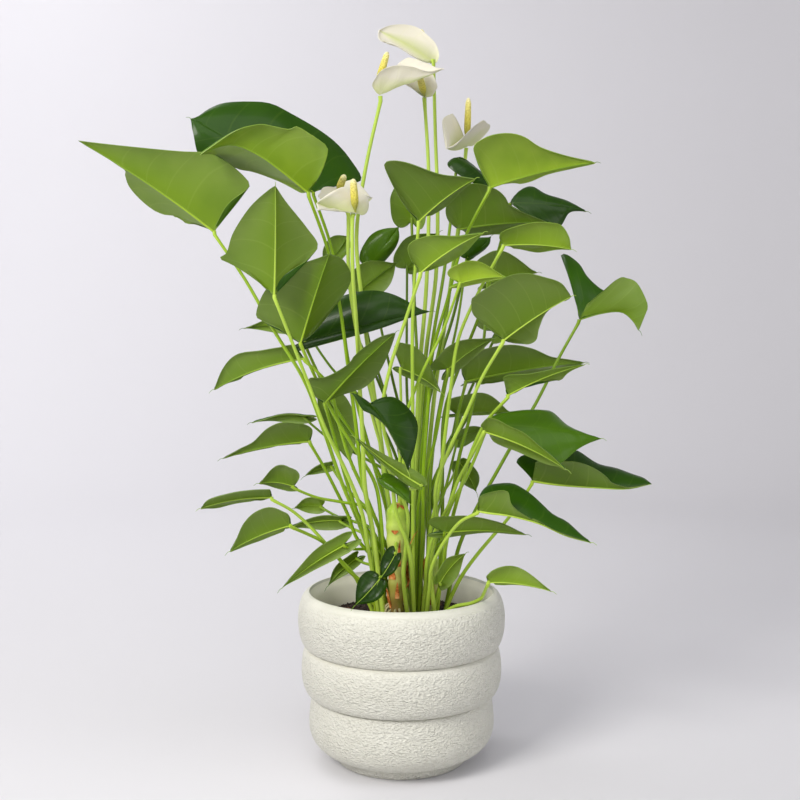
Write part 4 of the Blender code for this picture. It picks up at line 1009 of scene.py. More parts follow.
class Bending:
    """Bends stalks in depth and a little sideways, so that they clear each other and the blades.

    Blades bend no stalk of their own node. A stalk stays on the side of a blade where it started.
    """

    def __init__(self, stalks, walls):
        self.stalks = stalks
        self.wall_points = [(number, node, point, normal)
                            for number, (node, points, normals) in enumerate(walls)
                            for point, normal in zip(points, normals)]
        self.wall_tree = search_tree([point for _, _, point, _ in self.wall_points])
        self.samples = []
        self.moves = []
        self.weights = []

    def push(self, number, step, shift):
        """Shares a push at a step of a stalk out to the two knots beside it."""
        low = min(int(step), len(self.stalks[number].points) - 2)
        share = step - low
        for place, weight in ((low, 1 - share), (low + 1, share)):
            self.moves[number][place] += shift * weight
            self.weights[number][place] += weight

    def off_stalks(self, sample, tree):
        """Pushes a point of a stalk off the other stalks near it."""
        number, step, point, radius = sample
        mine = self.stalks[number]
        for _, found, _ in tree.find_range(Vector(point), 2 * STALK_FOOT_RADIUS + CLEAR):
            other, _, there, other_radius = self.samples[found]
            mate = self.stalks[other]
            if mate is mine or mate.node == mine.node and point[2] < mate.points[1][2]:
                continue
            offset = point - there
            short = radius + other_radius + CLEAR - np.linalg.norm(offset)
            if short <= 0:
                continue
            sideways = 1.0 if point[2] < NEAR_SOIL else SIDEWAYS
            away = np.array((offset[0] * sideways, offset[1], 0.0))
            if abs(offset[1]) < LEAST_OFFSET:
                away[1] = LEAST_OFFSET if number > other else -LEAST_OFFSET
            self.push(number, step, unit(away) * short * STALK_PUSH)

    def off_blades(self, sample, turn):
        """Pushes a point of a stalk off the blades near it, to the side where the stalk started."""
        number, step, point, radius = sample
        stalk = self.stalks[number]
        near = {}
        for _, found, _ in self.wall_tree.find_range(Vector(point), BLADE_REACH):
            wall, node, at, normal = self.wall_points[found]
            if node != stalk.node:
                near.setdefault(wall, []).append((float(np.dot(point - at, normal)), normal))
        for wall, heights in near.items():
            height, normal = min(heights, key=lambda entry: abs(entry[0]))
            short = radius + BLADE_ROOM + CLEAR - abs(height)
            if short <= 0:
                continue
            behind = height * (1 if normal[1] > 0 else -1)
            side = stalk.sides.setdefault(wall, [turn, 0.0])
            if side[0] == turn:
                side[1] += behind
            toward = 1.0 if side[1] >= 0 else -1.0
            depth = short if behind * toward >= 0 else short + 2 * abs(height)
            self.push(number, step, np.array((0.0, toward * min(depth, MOST_PUSH), 0.0)) * BLADE_PUSH)

    def off_stems(self, number):
        """Pushes a stalk off the crowns' stems that it passes."""
        stalk = self.stalks[number]
        steps, fine = stalk.samples()
        for name, (across, front, top, radius) in CROWNS.items():
            if stalk.node == name:
                continue
            away = fine[:, :2] - (across, -front)
            distance = np.linalg.norm(away, axis=1)
            short = radius * STEM_GIRTH + STALK_FOOT_RADIUS + CLEAR - distance
            short[fine[:, 2] > top + STEM_TOP_ROOM] = 0
            for place in np.flatnonzero(short > 0):
                shift = away[place] / distance[place] * short[place] * STALK_PUSH
                self.push(number, steps[place], np.array((shift[0] * STEM_SIDEWAYS, shift[1], 0.0)))

    def run(self):
        """Bends the stalks round by round, until they lie still or the rounds are up."""
        for turn in range(BEND_ROUNDS):
            self.samples = [(number, step, point, stalk.radius(step / (len(stalk.points) - 1)))
                            for number, stalk in enumerate(self.stalks)
                            for step, point in zip(*stalk.samples())
                            if step >= 1 or stalk.crown is not None]
            self.moves = [np.zeros_like(stalk.points) for stalk in self.stalks]
            self.weights = [np.full(len(stalk.points), 1e-6) for stalk in self.stalks]
            tree = search_tree([point for _, _, point, _ in self.samples])
            for sample in self.samples:
                self.off_stalks(sample, tree)
                self.off_blades(sample, turn)
            for number in range(len(self.stalks)):
                self.off_stems(number)
            moved = [stalk.give_way(move, weight, turn < SMOOTH_ROUNDS)
                     for stalk, move, weight in zip(self.stalks, self.moves, self.weights)]
            if max(moved) <= LIES_STILL:
                break


def wall_points(blade):
    """Points and normals all over a blade, for the stalks to keep clear of."""
    points = []
    normals = []
    for lines in blade.grid(*WALL_DETAIL):
        for (foot, line), (next_foot, next_line) in zip(lines, lines[1:]):
            here = [foot] + line
            there = [next_foot] + next_line
            for inner in range(len(line)):
                quad = [here[inner], there[inner], there[inner + 1], here[inner + 1]]
                normal = np.cross(quad[2] - quad[0], quad[3] - quad[1])
                if np.linalg.norm(normal) < 1e-6:
                    continue
                for middle in (sum(quad) / 4, (quad[2] + quad[3]) / 2):
                    points.append(middle)
                    normals.append(unit(normal))
    return points, normals


def lay_out():
    """Leaves and blooms as (name, blade, stalk), with all stalks bent clear of each other.

    Stalks are bent past the plain blades, as the solids' are, and then carry the drawn ones.
    """
    leaves = []
    for name, (*places, more) in LEAVES.items():
        blade = Blade(*places, **more)
        stalk = Stalk(name, blade, blade.joint, STALK_STEPS, foot=more.get("foot"))
        leaves.append((name, DrawnBlade(name, *places, **more), stalk))
    for crown, rows in TWIGS.items():
        across, front, top, radius = CROWNS[crown]
        for number, (*places, more) in enumerate(rows):
            blade = Blade(*places, **more)
            outward = unit(blade.joint[:2] - np.array((across, -front))) * radius * TWIG_ROOT
            height = min(top - FIRST_TWIG - TWIG_STEP * number, blade.joint[2] - TWIG_RISE)
            root = (across + outward[0], outward[1] - front, height)
            leaves.append((crown, blade, Stalk(crown, blade, blade.joint, TWIG_STEPS, root)))
    blooms = []
    for name, (*places, _, via) in BLOOMS.items():
        blade = Blade(*places, via=via, **SPATHE_SHAPE)
        end = blade.joint - blade.up * (SPATHE / 2 + SPATHE_STAND_OFF)
        stalk = Stalk(name + "_stalk", blade, end, STALK_STEPS, foot=BLOOM_FEET.get(name))
        blooms.append((name, DrawnBlade(name, *places, **SPATHE_SHAPE), stalk))
    stalks = [stalk for _, _, stalk in leaves + blooms]
    choose_spots(stalks)
    for stalk in stalks:
        stalk.lay()
    walls = [(name, *wall_points(stalk.blade)) for name, _, stalk in leaves]
    walls += [(name + "_spathe", *wall_points(stalk.blade)) for name, _, stalk in blooms]
    Bending(stalks, walls).run()
    return leaves, blooms


class Shape:
    """Vertices, faces, each face's finish and each vertex's place, gathered for one piece."""

    def __init__(self):
        self.vertices = []
        self.faces = []
        self.marks = []
        self.places = []

    def take(self, vertices, faces, places, marks=None):
        start = len(self.vertices)
        self.vertices += [tuple(vertex) for vertex in vertices]
        self.faces += [[start + corner for corner in face] for face in faces]
        self.marks += marks or [0] * len(faces)
        self.places += [tuple(place) for place in places]
        return self


def place_object(name, data):
    """A new object in the scene that shows this mesh, camera or light."""
    made = bpy.data.objects.new(name, data)
    bpy.context.scene.collection.objects.link(made)
    return made


def make_piece(name, shape, finishes, nodes=()):
    """One mesh from a shape in millimetres. It rides on the root and stands for its nodes."""
    mesh = bpy.data.meshes.new(name)
    mesh.from_pydata([tuple(vertex) for vertex in np.array(shape.vertices) * MM], [], shape.faces)
    for material in finishes:
        mesh.materials.append(material)
    mesh.polygons.foreach_set("material_index", shape.marks)
    place = mesh.attributes.new("place", "FLOAT_VECTOR", "POINT")
    place.data.foreach_set("vector", np.array(shape.places, dtype=np.float32).ravel())
    work = bmesh.new()
    work.from_mesh(mesh)
    bmesh.ops.recalc_face_normals(work, faces=work.faces)
    work.to_mesh(mesh)
    work.free()
    mesh.shade_smooth()
    mesh.set_sharp_from_angle(angle=math.radians(SHARP_EDGE))
    obj = place_object(name, mesh)
    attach(obj, "root")
    if nodes:
        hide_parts(*nodes)


def bar(points, radii, sides, tone, start=0.0, end=1.0):
    """A closed round bar along the points. Each place is (share of the length, share round, tone)."""
    points = np.array(points)
    tangents = [unit(b - a) for a, b in zip(points, points[1:])]
    tangents = [tangents[0]] + [unit(a + b) for a, b in zip(tangents, tangents[1:])] + [tangents[-1]]
    side = unit(np.cross(tangents[0], BAR_SIDE))
    vertices = []
    places = []
    for number, (point, tangent, radius) in enumerate(zip(points, tangents, radii)):
        side = unit(side - tangent * np.dot(side, tangent))
        other = np.cross(tangent, side)
        share = start + (end - start) * number / (len(points) - 1)
        for step in range(sides):
            angle = 2 * math.pi * step / sides
            vertices.append(point + radius * (side * math.cos(angle) + other * math.sin(angle)))
            places.append((share, step / sides, tone))
    faces = [list(range(sides))[::-1]]
    for ring in range(len(points) - 1):
        for step in range(sides):
            here = ring * sides + step
            there = ring * sides + (step + 1) % sides
            faces.append([here, there, there + sides, here + sides])
    faces.append([len(vertices) - sides + step for step in range(sides)])
    return vertices, faces, places


def sheet(points, places, thickness, up, lift=None):
    """A thin closed solid over a grid of points. Faces marked 0 look up, and 1 down and out."""
    rows, columns = points.shape[:2]
    flat = points.reshape(-1, 3)
    _, first, index = np.unique(np.round(flat, 2), axis=0, return_index=True, return_inverse=True)
    index = index.reshape(rows, columns)
    flat = flat[first]
    places = places.reshape(-1, 3)[first]
    corners = [index[:-1, :-1], index[1:, :-1], index[1:, 1:], index[:-1, 1:]]
    quads = np.stack(corners, axis=-1).reshape(-1, 4)
    cross = np.cross(flat[quads[:, 2]] - flat[quads[:, 0]], flat[quads[:, 3]] - flat[quads[:, 1]])
    if (cross @ up).sum() < 0:
        quads = quads[:, ::-1]
        cross = -cross
    normals = np.zeros_like(flat)
    for corner in range(4):
        np.add.at(normals, quads[:, corner], cross)
    normals /= np.maximum(np.linalg.norm(normals, axis=1, keepdims=True), 1e-9)
    if lift is not None:
        flat = flat + normals * lift(places)[:, None]
    faces = [list(dict.fromkeys(quad)) for quad in quads.tolist()]
    faces = [face for face in faces if len(face) > 2]
    count = len(flat)
    edges = dict.fromkeys(edge for face in faces for edge in zip(face, face[1:] + face[:1]))
    rim = [[b, a, a + count, b + count] for a, b in edges if (b, a) not in edges]
    below = [[corner + count for corner in face[::-1]] for face in faces]
    vertices = np.vstack([flat + normals * thickness / 2, flat - normals * thickness / 2])
    marks = [0] * len(faces) + [1] * (len(below) + len(rim))
    return vertices, faces + below + rim, np.vstack([places, places]), marks


def blade_sheet(blade, thickness, detail, tone, relief=1.0):
    """A whole blade. Each place is (share round the edge, share from rib to edge, tone)."""
    steps, rows = detail
    left, right = blade.grid(steps, rows)
    shares = [abs(row) / rows for row in range(-rows, rows + 1)]
    points = [one[::-1] + [foot] + other for (foot, one), (_, other) in zip(left, right)]
    places = [[(step / steps, share, tone) for share in shares] for step in range(steps + 1)]

    def lift(where):
        along, out, _ = where.T
        quilt = 0.5 - 0.5 * np.cos(2 * math.pi * (VEINS * along + VEIN_LEAN * out ** 2))
        rise = QUILT * quilt * np.sin(math.pi * out)
        groove = RIB_GROOVE * np.exp(-(out / GROOVE_WIDTH) ** 2)
        return relief * (rise - groove - EDGE_CURL * out ** 8)

    return sheet(np.array(points), np.array(places), thickness, blade.up, lift)


def stalk_bar(stalk, tone, swollen, girth):
    """A stalk from its foot to its joint. The joint at its head is a little swollen."""
    line = smooth_curve(list(stalk.points) + [stalk.end - stalk.blade.up * JOINT_INSET], STALK_RINGS)
    run = np.linalg.norm(line - line[-1], axis=1)
    radii = []
    for step, away in enumerate(run):
        joint = swollen * math.exp(-(away / SWOLLEN_LENGTH) ** 2)
        radii.append(girth * (stalk.radius(step / (STALK_RINGS - 1)) + joint))
    return bar(line, radii, STALK_SIDES, tone, 0.0, JOINT_AT)


def rib_bar(blade, tone, drip):
    """The raised midrib under a blade, and the fine drip tip that it ends in."""
    radii = list(np.linspace(min(blade.length / 100, MOST_RIB_RADIUS), RIB_TIP_RADIUS, RIB_RINGS))
    line = [blade.rib(share) - blade.up * (BLADE / 2 + RIB_GROOVE + radius / 2)
            for share, radius in zip(np.linspace(0.0, RIB_END, RIB_RINGS), radii)]
    if drip:
        ahead = unit(line[-1] - line[-3])
        for step in DRIP_STEPS:
            line.append(blade.tip + drip * (ahead * step - np.array((0, 0, DRIP_SAG * step ** 2))))
            radii.append(RIB_TIP_RADIUS - DRIP_TAPER * step)
    return bar(line, radii, RIB_SIDES, tone, JOINT_AT, 1.0)


def linear(code):
    """An sRGB hex colour as linear red, green, blue and alpha."""
    parts = [int(code[place:place + 2], 16) / 255 for place in (1, 3, 5)]
    return (*(part / 12.92 if part <= 0.04045 else ((part + 0.055) / 1.055) ** 2.4 for part in parts), 1.0)


def feed(tree, node, feeds):
    """Gives each socket its own value, or links it to the node or output that drives it."""
    for socket, value in feeds.items():
        if isinstance(value, bpy.types.Node):
            value = next(output for output in value.outputs if output.enabled)
        if isinstance(value, bpy.types.NodeSocket):
            tree.links.new(value, node.inputs[socket])
        else:
            node.inputs[socket].default_value = value


def add(tree, kind, feeds=None, stops=(), **settings):
    """Adds a node with its settings and feeds. A ramp's stops are its first, its last, then the rest."""
    made = tree.nodes.new(kind)
    for key, value in settings.items():
        setattr(made, key, value)
    feed(tree, made, feeds or {})
    for number, (at, code) in enumerate(stops):
        band = made.color_ramp.elements
        stop = band[number] if number < 2 else band.new(at)
        stop.position = at
        stop.color = linear(code)
    return made


def make_finish(name, values):
    """A material whose shader has these even values. Returns it with its tree and its shader."""
    material = bpy.data.materials.new(name)
    material.use_nodes = True
    tree = material.node_tree
    shader = tree.nodes["Principled BSDF"]
    feed(tree, shader, values)
    return material, tree, shader


def place_of(tree):
    """The place that a piece's mesh carries, as three numbers."""
    place = add(tree, "ShaderNodeAttribute", attribute_name="place")
    return add(tree, "ShaderNodeSeparateXYZ", {0: place.outputs["Vector"]}).outputs


def vein_lines(tree, place, width):
    """How much of a vein there is: 1 on the midrib near the joint, less on the lateral veins."""
    squared = add(tree, "ShaderNodeMath", {0: place[1], 1: 2.0}, operation="POWER")
    lean = add(tree, "ShaderNodeMath", {0: squared, 1: VEIN_LEAN}, operation="MULTIPLY")
    run = add(tree, "ShaderNodeMath", {0: place[0], 1: VEINS, 2: lean}, operation="MULTIPLY_ADD")
    away = add(tree, "ShaderNodeMath", {0: run, 1: 0.5}, operation="PINGPONG")
    lateral = add(tree, "ShaderNodeMapRange", {0: away, 1: 0.0, 2: width, 3: 0.45, 4: 0.0},
                  interpolation_type="SMOOTHSTEP")
    midrib = add(tree, "ShaderNodeMapRange", {0: place[1], 1: 0.0, 2: 0.035, 3: 1.0, 4: 0.0},
                 interpolation_type="SMOOTHSTEP")
    fading = add(tree, "ShaderNodeMapRange", {0: place[0], 1: 0.3, 2: 0.8, 3: 1.0, 4: 0.35})
    bright = add(tree, "ShaderNodeMath", {0: midrib, 1: fading}, operation="MULTIPLY")
    return add(tree, "ShaderNodeMath", {0: lateral, 1: bright}, operation="MAXIMUM")


def leaf_upper():
    """Anthurium leaf, upper face: a thin waxy cuticle, which gives deep green with a soft sheen."""
    material, tree, shader = make_finish("anthurium_leaf_waxy_upper", {
        "Roughness": 0.32, "IOR": 1.45, "Specular IOR Level": 0.2,
        "Coat Weight": 0.08, "Coat Roughness": 0.05,
        "Subsurface Weight": 0.05, "Subsurface Scale": 0.0012, "Subsurface Radius": (0.7, 1.0, 0.25)})
    place = place_of(tree)
    where = add(tree, "ShaderNodeTexCoord").outputs["Object"]
    green = add(tree, "ShaderNodeValToRGB", {0: place[2]},
                stops=((0.0, "#0B2400"), (1.0, "#7CA41A"), (0.4, "#244A00")))
    # Patches 30 mm across
    cloud = add(tree, "ShaderNodeTexNoise", {"Vector": where, "Scale": 1000 / 30, "Detail": 3.0})
    patches = add(tree, "ShaderNodeMath", {0: cloud, 1: 0.3}, operation="MULTIPLY")
    patchy = add(tree, "ShaderNodeMix", {0: patches, 6: green, 7: linear("#426C04")}, data_type="RGBA")
    veins = vein_lines(tree, place, 0.05)
    pale = add(tree, "ShaderNodeMath", {0: veins, 1: 0.15}, operation="MULTIPLY")
    colour = add(tree, "ShaderNodeMix", {0: pale, 6: patchy, 7: linear("#7F9E3A")}, data_type="RGBA")
    # The net of fine veins has meshes of 2.6 mm, coarser than a real leaf's, so that it shows
    net = add(tree, "ShaderNodeTexVoronoi", {"Vector": where, "Scale": 1000 / 2.6},
              feature="DISTANCE_TO_EDGE")
    sunk = add(tree, "ShaderNodeMath", {0: veins, 1: -0.6}, operation="MULTIPLY")
    relief = add(tree, "ShaderNodeMath", {0: net, 1: 0.25, 2: sunk}, operation="MULTIPLY_ADD")
    bump = add(tree, "ShaderNodeBump", {"Height": relief, "Strength": 0.25, "Distance": 0.0005})
    feed(tree, shader, {"Base Color": colour, "Normal": bump})
    return material


def leaf_under():
    """Anthurium leaf, underside: a thinner cuticle, which gives a satin, yellower green with veins."""
    material, tree, shader = make_finish("anthurium_leaf_satin_underside", {
        "Roughness": 0.42, "IOR": 1.45, "Specular IOR Level": 0.3,
        "Subsurface Weight": 0.25, "Subsurface Scale": 0.0015, "Subsurface Radius": (0.7, 1.0, 0.2)})
    place = place_of(tree)
    where = add(tree, "ShaderNodeTexCoord").outputs["Object"]
    green = add(tree, "ShaderNodeValToRGB", {0: place[2]},
                stops=((0.0, "#3A5204"), (1.0, "#A8C430"), (0.5, "#6E8C14")))
    outward = add(tree, "ShaderNodeMapRange", {0: place[1], 1: 0.1, 2: 0.95, 3: 0.0, 4: 0.4})
    pale = add(tree, "ShaderNodeMix", {0: 0.6, 6: green, 7: linear("#98A672")}, data_type="RGBA")
    paler = add(tree, "ShaderNodeMix", {0: outward, 6: green, 7: pale}, data_type="RGBA")
    # Random patches 45 mm across, towards a deep green, which also serve as painted shade for the folds
    # between veins
    cloud = add(tree, "ShaderNodeTexNoise", {"Vector": where, "Scale": 1000 / 45, "Detail": 3.0})
    patches = add(tree, "ShaderNodeMapRange", {0: cloud, 1: 0.4, 2: 0.7, 3: 0.0, 4: 0.45})
    patchy = add(tree, "ShaderNodeMix", {0: patches, 6: paler, 7: linear("#587A02")}, data_type="RGBA")
    veins = vein_lines(tree, place, 0.05)
    lit = add(tree, "ShaderNodeMath", {0: veins, 1: 0.18}, operation="MULTIPLY")
    colour = add(tree, "ShaderNodeMix", {0: lit, 6: patchy, 7: linear("#B2C468")}, data_type="RGBA")
    bump = add(tree, "ShaderNodeBump", {"Height": veins, "Strength": 0.15, "Distance": 0.0005})
    feed(tree, shader, {"Base Color": colour, "Normal": bump})
    return material


def stalk_skin():
    """Petiole: smooth fleshy skin, which gives a satin green, brownish below and bright at the joint, with
    painted shade on the stalks behind and painted light on those in front.
    """
    material, tree, shader = make_finish("petiole_smooth_skin", {
        "Roughness": 0.36, "IOR": 1.45, "Specular IOR Level": 0.3,
        "Subsurface Weight": 0.15, "Subsurface Scale": 0.0015, "Subsurface Radius": (0.8, 1.0, 0.2)})
    place = place_of(tree)
    green = add(tree, "ShaderNodeValToRGB", {0: place[0]}, stops=(
        (0.0, "#8A7A3C"), (1.0, "#5C8618"), (0.07, "#A2BC2C"), (0.35, "#98BE18"), (0.84, "#90B41C"),
        (0.93, "#AECC34")))
    # Faint lengthwise streaks, 6 in the stalk's length and 9 round it
    along = add(tree, "ShaderNodeMath", {0: place[0], 1: 6.0}, operation="MULTIPLY")
    around = add(tree, "ShaderNodeMath", {0: place[1], 1: 9.0}, operation="MULTIPLY")
    where = add(tree, "ShaderNodeCombineXYZ", {0: along, 1: around, 2: place[2]})
    streak = add(tree, "ShaderNodeTexNoise", {"Vector": where, "Scale": 1.5, "Detail": 2.0})
    dark = add(tree, "ShaderNodeMapRange", {0: streak, 1: 0.42, 2: 0.7, 3: 0.0, 4: 0.7})
    streaked = add(tree, "ShaderNodeMix", {0: dark, 6: green, 7: linear("#587C10")}, data_type="RGBA")
    # Painted shade: the lower a stalk's tone, that is the further behind it stands, the more it is mixed
    # towards a deep green
    shade = add(tree, "ShaderNodeMapRange", {0: place[2], 1: 0.0, 2: 0.55, 3: 0.8, 4: 0.0})
    painted_shade = add(tree, "ShaderNodeMix", {0: shade, 6: streaked, 7: linear("#3C5A08")}, data_type="RGBA")
    # Paler for a high tone: the peduncles' own pale green, and painted light on the stalks in front
    light = add(tree, "ShaderNodeMapRange", {0: place[2], 1: 0.5, 2: 1.0, 3: 0.0, 4: 0.6})
    colour = add(tree, "ShaderNodeMix", {0: light, 6: painted_shade, 7: linear("#C2DA62")}, data_type="RGBA")
    feed(tree, shader, {"Base Color": colour})
    return material


def stem_skin():
    """Young stem: fleshy above, which gives a pale dull green, and woody and brown towards the soil."""
    material, tree, shader = make_finish("stem_fleshy_skin", {
        "Roughness": 0.45, "IOR": 1.45,
        "Subsurface Weight": 0.2, "Subsurface Scale": 0.002, "Subsurface Radius": (0.9, 1.0, 0.4)})
    place = place_of(tree)
    where = add(tree, "ShaderNodeTexCoord").outputs["Object"]
    green = add(tree, "ShaderNodeValToRGB", {0: place[0]}, stops=(
        (0.0, "#4C3418"), (1.0, "#9CBE30"), (0.22, "#7C5A2C"), (0.4, "#A09A40"), (0.6, "#D2D67C"),
        (0.82, "#BCD05C")))
    # Knobs 9 mm across
    knobs = add(tree, "ShaderNodeTexNoise", {"Vector": where, "Scale": 1000 / 9, "Detail": 3.0})
    dull = add(tree, "ShaderNodeMapRange", {0: knobs, 1: 0.5, 2: 0.8, 3: 0.0, 4: 0.6})
    colour = add(tree, "ShaderNodeMix", {0: dull, 6: green, 7: linear("#8FA03C")}, data_type="RGBA")
    bump = add(tree, "ShaderNodeBump", {"Height": knobs, "Strength": 0.4, "Distance": 0.0008})
    feed(tree, shader, {"Base Color": colour, "Normal": bump})
    return material


def root_skin():
    """Aerial root: a dry outer skin, which gives a dull pale olive with brown patches 4 mm across."""
    material, tree, shader = make_finish("aerial_root_pale_skin", {"Roughness": 0.6})
    where = add(tree, "ShaderNodeTexCoord").outputs["Object"]
    cloud = add(tree, "ShaderNodeTexNoise", {"Vector": where, "Scale": 1000 / 4, "Detail": 3.0})
    feeds = {0: cloud, 6: linear("#C9C79A"), 7: linear("#8E7A4A")}
    feed(tree, shader, {"Base Color": add(tree, "ShaderNodeMix", feeds, data_type="RGBA")})
    return material


def spathe_skin():
    """Spathe: thick waxy bract, which gives an even cream white, green where it joins the stalk."""
    material, tree, shader = make_finish("spathe_waxy_bract", {
        "Roughness": 0.34, "IOR": 1.45,
        "Subsurface Weight": 0.35, "Subsurface Scale": 0.003, "Subsurface Radius": (1.0, 0.95, 0.7)})
    place = place_of(tree)
    near = add(tree, "ShaderNodeMath", {0: place[0], 1: place[1], 2: 0.0}, operation="MULTIPLY_ADD")
    foot = add(tree, "ShaderNodeMapRange", {0: near, 1: 0.0, 2: 0.32, 3: 0.75, 4: 0.0})
    cream = add(tree, "ShaderNodeMix", {0: foot, 6: linear("#DBD6C4"), 7: linear("#B9C470")},
                data_type="RGBA")
    veins = vein_lines(tree, place, 0.09)
    faint = add(tree, "ShaderNodeMath", {0: veins, 1: 0.22}, operation="MULTIPLY")
    lined = add(tree, "ShaderNodeMix", {0: faint, 6: cream, 7: linear("#D6D9A4")}, data_type="RGBA")
    bump = add(tree, "ShaderNodeBump", {"Height": veins, "Strength": 0.3, "Distance": 0.0004}, invert=True)
    feed(tree, shader, {"Base Color": lined, "Normal": bump})
    return material


def spadix_florets():
    """Spadix: packed florets 1.3 mm across, which give a matt yellow grain with a cream tip, and painted
    shade in the seams between florets.
    """
    material, tree, shader = make_finish("spadix_packed_florets", {
        "Roughness": 0.6, "IOR": 1.45,
        "Subsurface Weight": 0.2, "Subsurface Scale": 0.0015, "Subsurface Radius": (1.0, 0.8, 0.2)})
    place = place_of(tree)
    where = add(tree, "ShaderNodeTexCoord").outputs["Object"]
    yellow = add(tree, "ShaderNodeValToRGB", {0: place[0]}, stops=(
        (0.0, "#8E9A3E"), (1.0, "#F6F0C0"), (0.22, "#B4B247"), (0.5, "#E2D558"), (0.85, "#EFE48A")))
    florets = add(tree, "ShaderNodeTexVoronoi", {"Vector": where, "Scale": 1000 / 1.3}).outputs["Distance"]
    # Painted shade: a deeper yellow-olive towards the edge of each floret, where it meets the next
    dark = add(tree, "ShaderNodeMapRange", {0: florets, 1: 0.35, 2: 0.8, 3: 0.0, 4: 0.55})
    colour = add(tree, "ShaderNodeMix", {0: dark, 6: yellow, 7: linear("#A89A30")}, data_type="RGBA")
    bump = add(tree, "ShaderNodeBump", {"Height": florets, "Strength": 0.8, "Distance": 0.0006},
               invert=True)
    feed(tree, shader, {"Base Color": colour, "Normal": bump})
    return material


def stoneware(name, relief):
    """Unglazed cream stoneware, which is dull. Outside, its skin is pressed in creases 2 to 3 mm long, with
    painted shade in them. Inside, it is paler: its own cream and painted light.
    """
    material, tree, shader = make_finish(name, {"Roughness": 0.5 if relief else 0.3, "IOR": 1.5})
    spot = add(tree, "ShaderNodeTexCoord").outputs["Object"]
    where = add(tree, "ShaderNodeMapping", {"Vector": spot, "Scale": (1.0, 1.0, 1.5)})
    # Clouds in the clay 35 mm across
    cloud = add(tree, "ShaderNodeTexNoise", {"Vector": where, "Scale": 1000 / 35, "Detail": 2.0})
    clay = add(tree, "ShaderNodeMix", {0: cloud, 6: linear("#E0DFD4"), 7: linear("#D6D5C8")},
               data_type="RGBA")
    if not relief:
        # The inside is mixed towards a near white: partly its own paler cream, and partly painted light
        # where the foliage shades it
        painted_light_inside = add(tree, "ShaderNodeMix", {0: 0.7, 6: clay, 7: linear("#FFFAE8")}, data_type="RGBA")
        feed(tree, shader, {"Base Color": painted_light_inside})
        return material
    # Creases 2.4 mm apart, pushed aside by up to 3 mm in patches of 4.5 mm, and a grain of 1.3 mm
    bent = add(tree, "ShaderNodeTexNoise", {"Vector": where, "Scale": 1000 / 4.5, "Detail": 2.0})
    shift = add(tree, "ShaderNodeVectorMath", {0: bent.outputs["Color"], 1: (0.003, 0.003, 0.003)},
                operation="MULTIPLY").outputs[0]
    warped = add(tree, "ShaderNodeVectorMath", {0: where, 1: shift}, operation="ADD").outputs[0]
    creases = add(tree, "ShaderNodeTexVoronoi", {"Vector": warped, "Scale": 1000 / 2.4},
                  feature="SMOOTH_F1").outputs["Distance"]
    grain = add(tree, "ShaderNodeTexNoise", {"Vector": where, "Scale": 1000 / 1.3, "Detail": 2.0})
    height = add(tree, "ShaderNodeMath", {0: grain, 1: 0.5, 2: creases}, operation="MULTIPLY_ADD")
    worked = add(tree, "ShaderNodeMath", {0: height, 1: place_of(tree)[0]}, operation="MULTIPLY")
    bump = add(tree, "ShaderNodeBump", {"Height": worked, "Strength": 1.0, "Distance": 0.0026})
    # Painted shade in the hollows of the creases: a deeper colour where the relief is low
    deep = add(tree, "ShaderNodeMapRange", {0: height, 1: 0.2, 2: 0.9, 3: 0.18, 4: 0.0})
    colour = add(tree, "ShaderNodeMix", {0: deep, 6: clay, 7: linear("#CBC6B2")}, data_type="RGBA")
    feed(tree, shader, {"Base Color": colour, "Normal": bump})
    return material


def crumbly(name, size_mm, codes, rough):
    """Earthy stuff in specks of this size: potting soil, bark chips or dry papery sheaths."""
    material, tree, shader = make_finish(name, {"Roughness": rough, "IOR": 1.45})
    where = add(tree, "ShaderNodeTexCoord").outputs["Object"]
    specks = add(tree, "ShaderNodeTexNoise", {
        "Vector": where, "Scale": 1000 / size_mm, "Detail": 3.0, "Roughness": 0.7})
    colour = add(tree, "ShaderNodeValToRGB", {0: specks},
                 stops=((0.34, codes[0]), (0.68, codes[2]), (0.5, codes[1])))
    bump = add(tree, "ShaderNodeBump", {"Height": specks, "Strength": 0.8, "Distance": size_mm * MM * 0.4})
    feed(tree, shader, {"Base Color": colour, "Normal": bump})
    return material


def make_pot():
    """The turned pot. Places hold how strongly the clay is creased, less on upward faces."""
    profile = pot_profile()
    vertices, faces = turned(profile, POT_SIDES)
    crest = max(height for _, height in profile)
    inside = len(profile) - len(INSIDE) - LIP_STEPS
    places = []
    for number, (radius, height) in enumerate(profile):
        before = profile[max(number - 1, 0)]
        after = profile[min(number + 1, len(profile) - 1)]
        run = math.hypot(after[0] - before[0], after[1] - before[1])
        facing = (before[0] - after[0]) / max(run, 1e-6)
        strength = min(max(1.0 - CREASE_LOSS * max(facing, 0), LEAST_CREASE), 1.0)
        if number > inside or height > crest - SMOOTH_CREST:
            strength = 0.0
        places += [(strength, height / crest, 0.0)] * (1 if radius == 0 else POT_SIDES)
    marks = [1 if face // POT_SIDES >= inside else 0 for face in range(len(faces))]
    shape = Shape().take(vertices, faces, places, marks)
    clay = [stoneware("stoneware_creased_unglazed", True), stoneware("stoneware_inside_painted_light", False)]
    make_piece("pot_turned", shape, clay, ("pot",))


def make_lump(rng, size):
    """A small angular crumb round the origin: vertices and faces."""
    turn = rng.uniform(0, math.pi)
    points = []
    for corner in ((1, 0, 0), (-1, 0, 0), (0, 1, 0), (0, -1, 0), (0, 0, 1), (0, 0, -1)):
        x, y, z = [axis * (size * rng.uniform(*LUMP_STRAY)) for axis in corner]
        points.append((x * math.cos(turn) - y * math.sin(turn), x * math.sin(turn) + y * math.cos(turn), z))
    around = ((0, 2), (2, 1), (1, 3), (3, 0))
    faces = [[a, b, 4] for a, b in around] + [[b, a, 5] for a, b in around]
    return np.array(points), faces


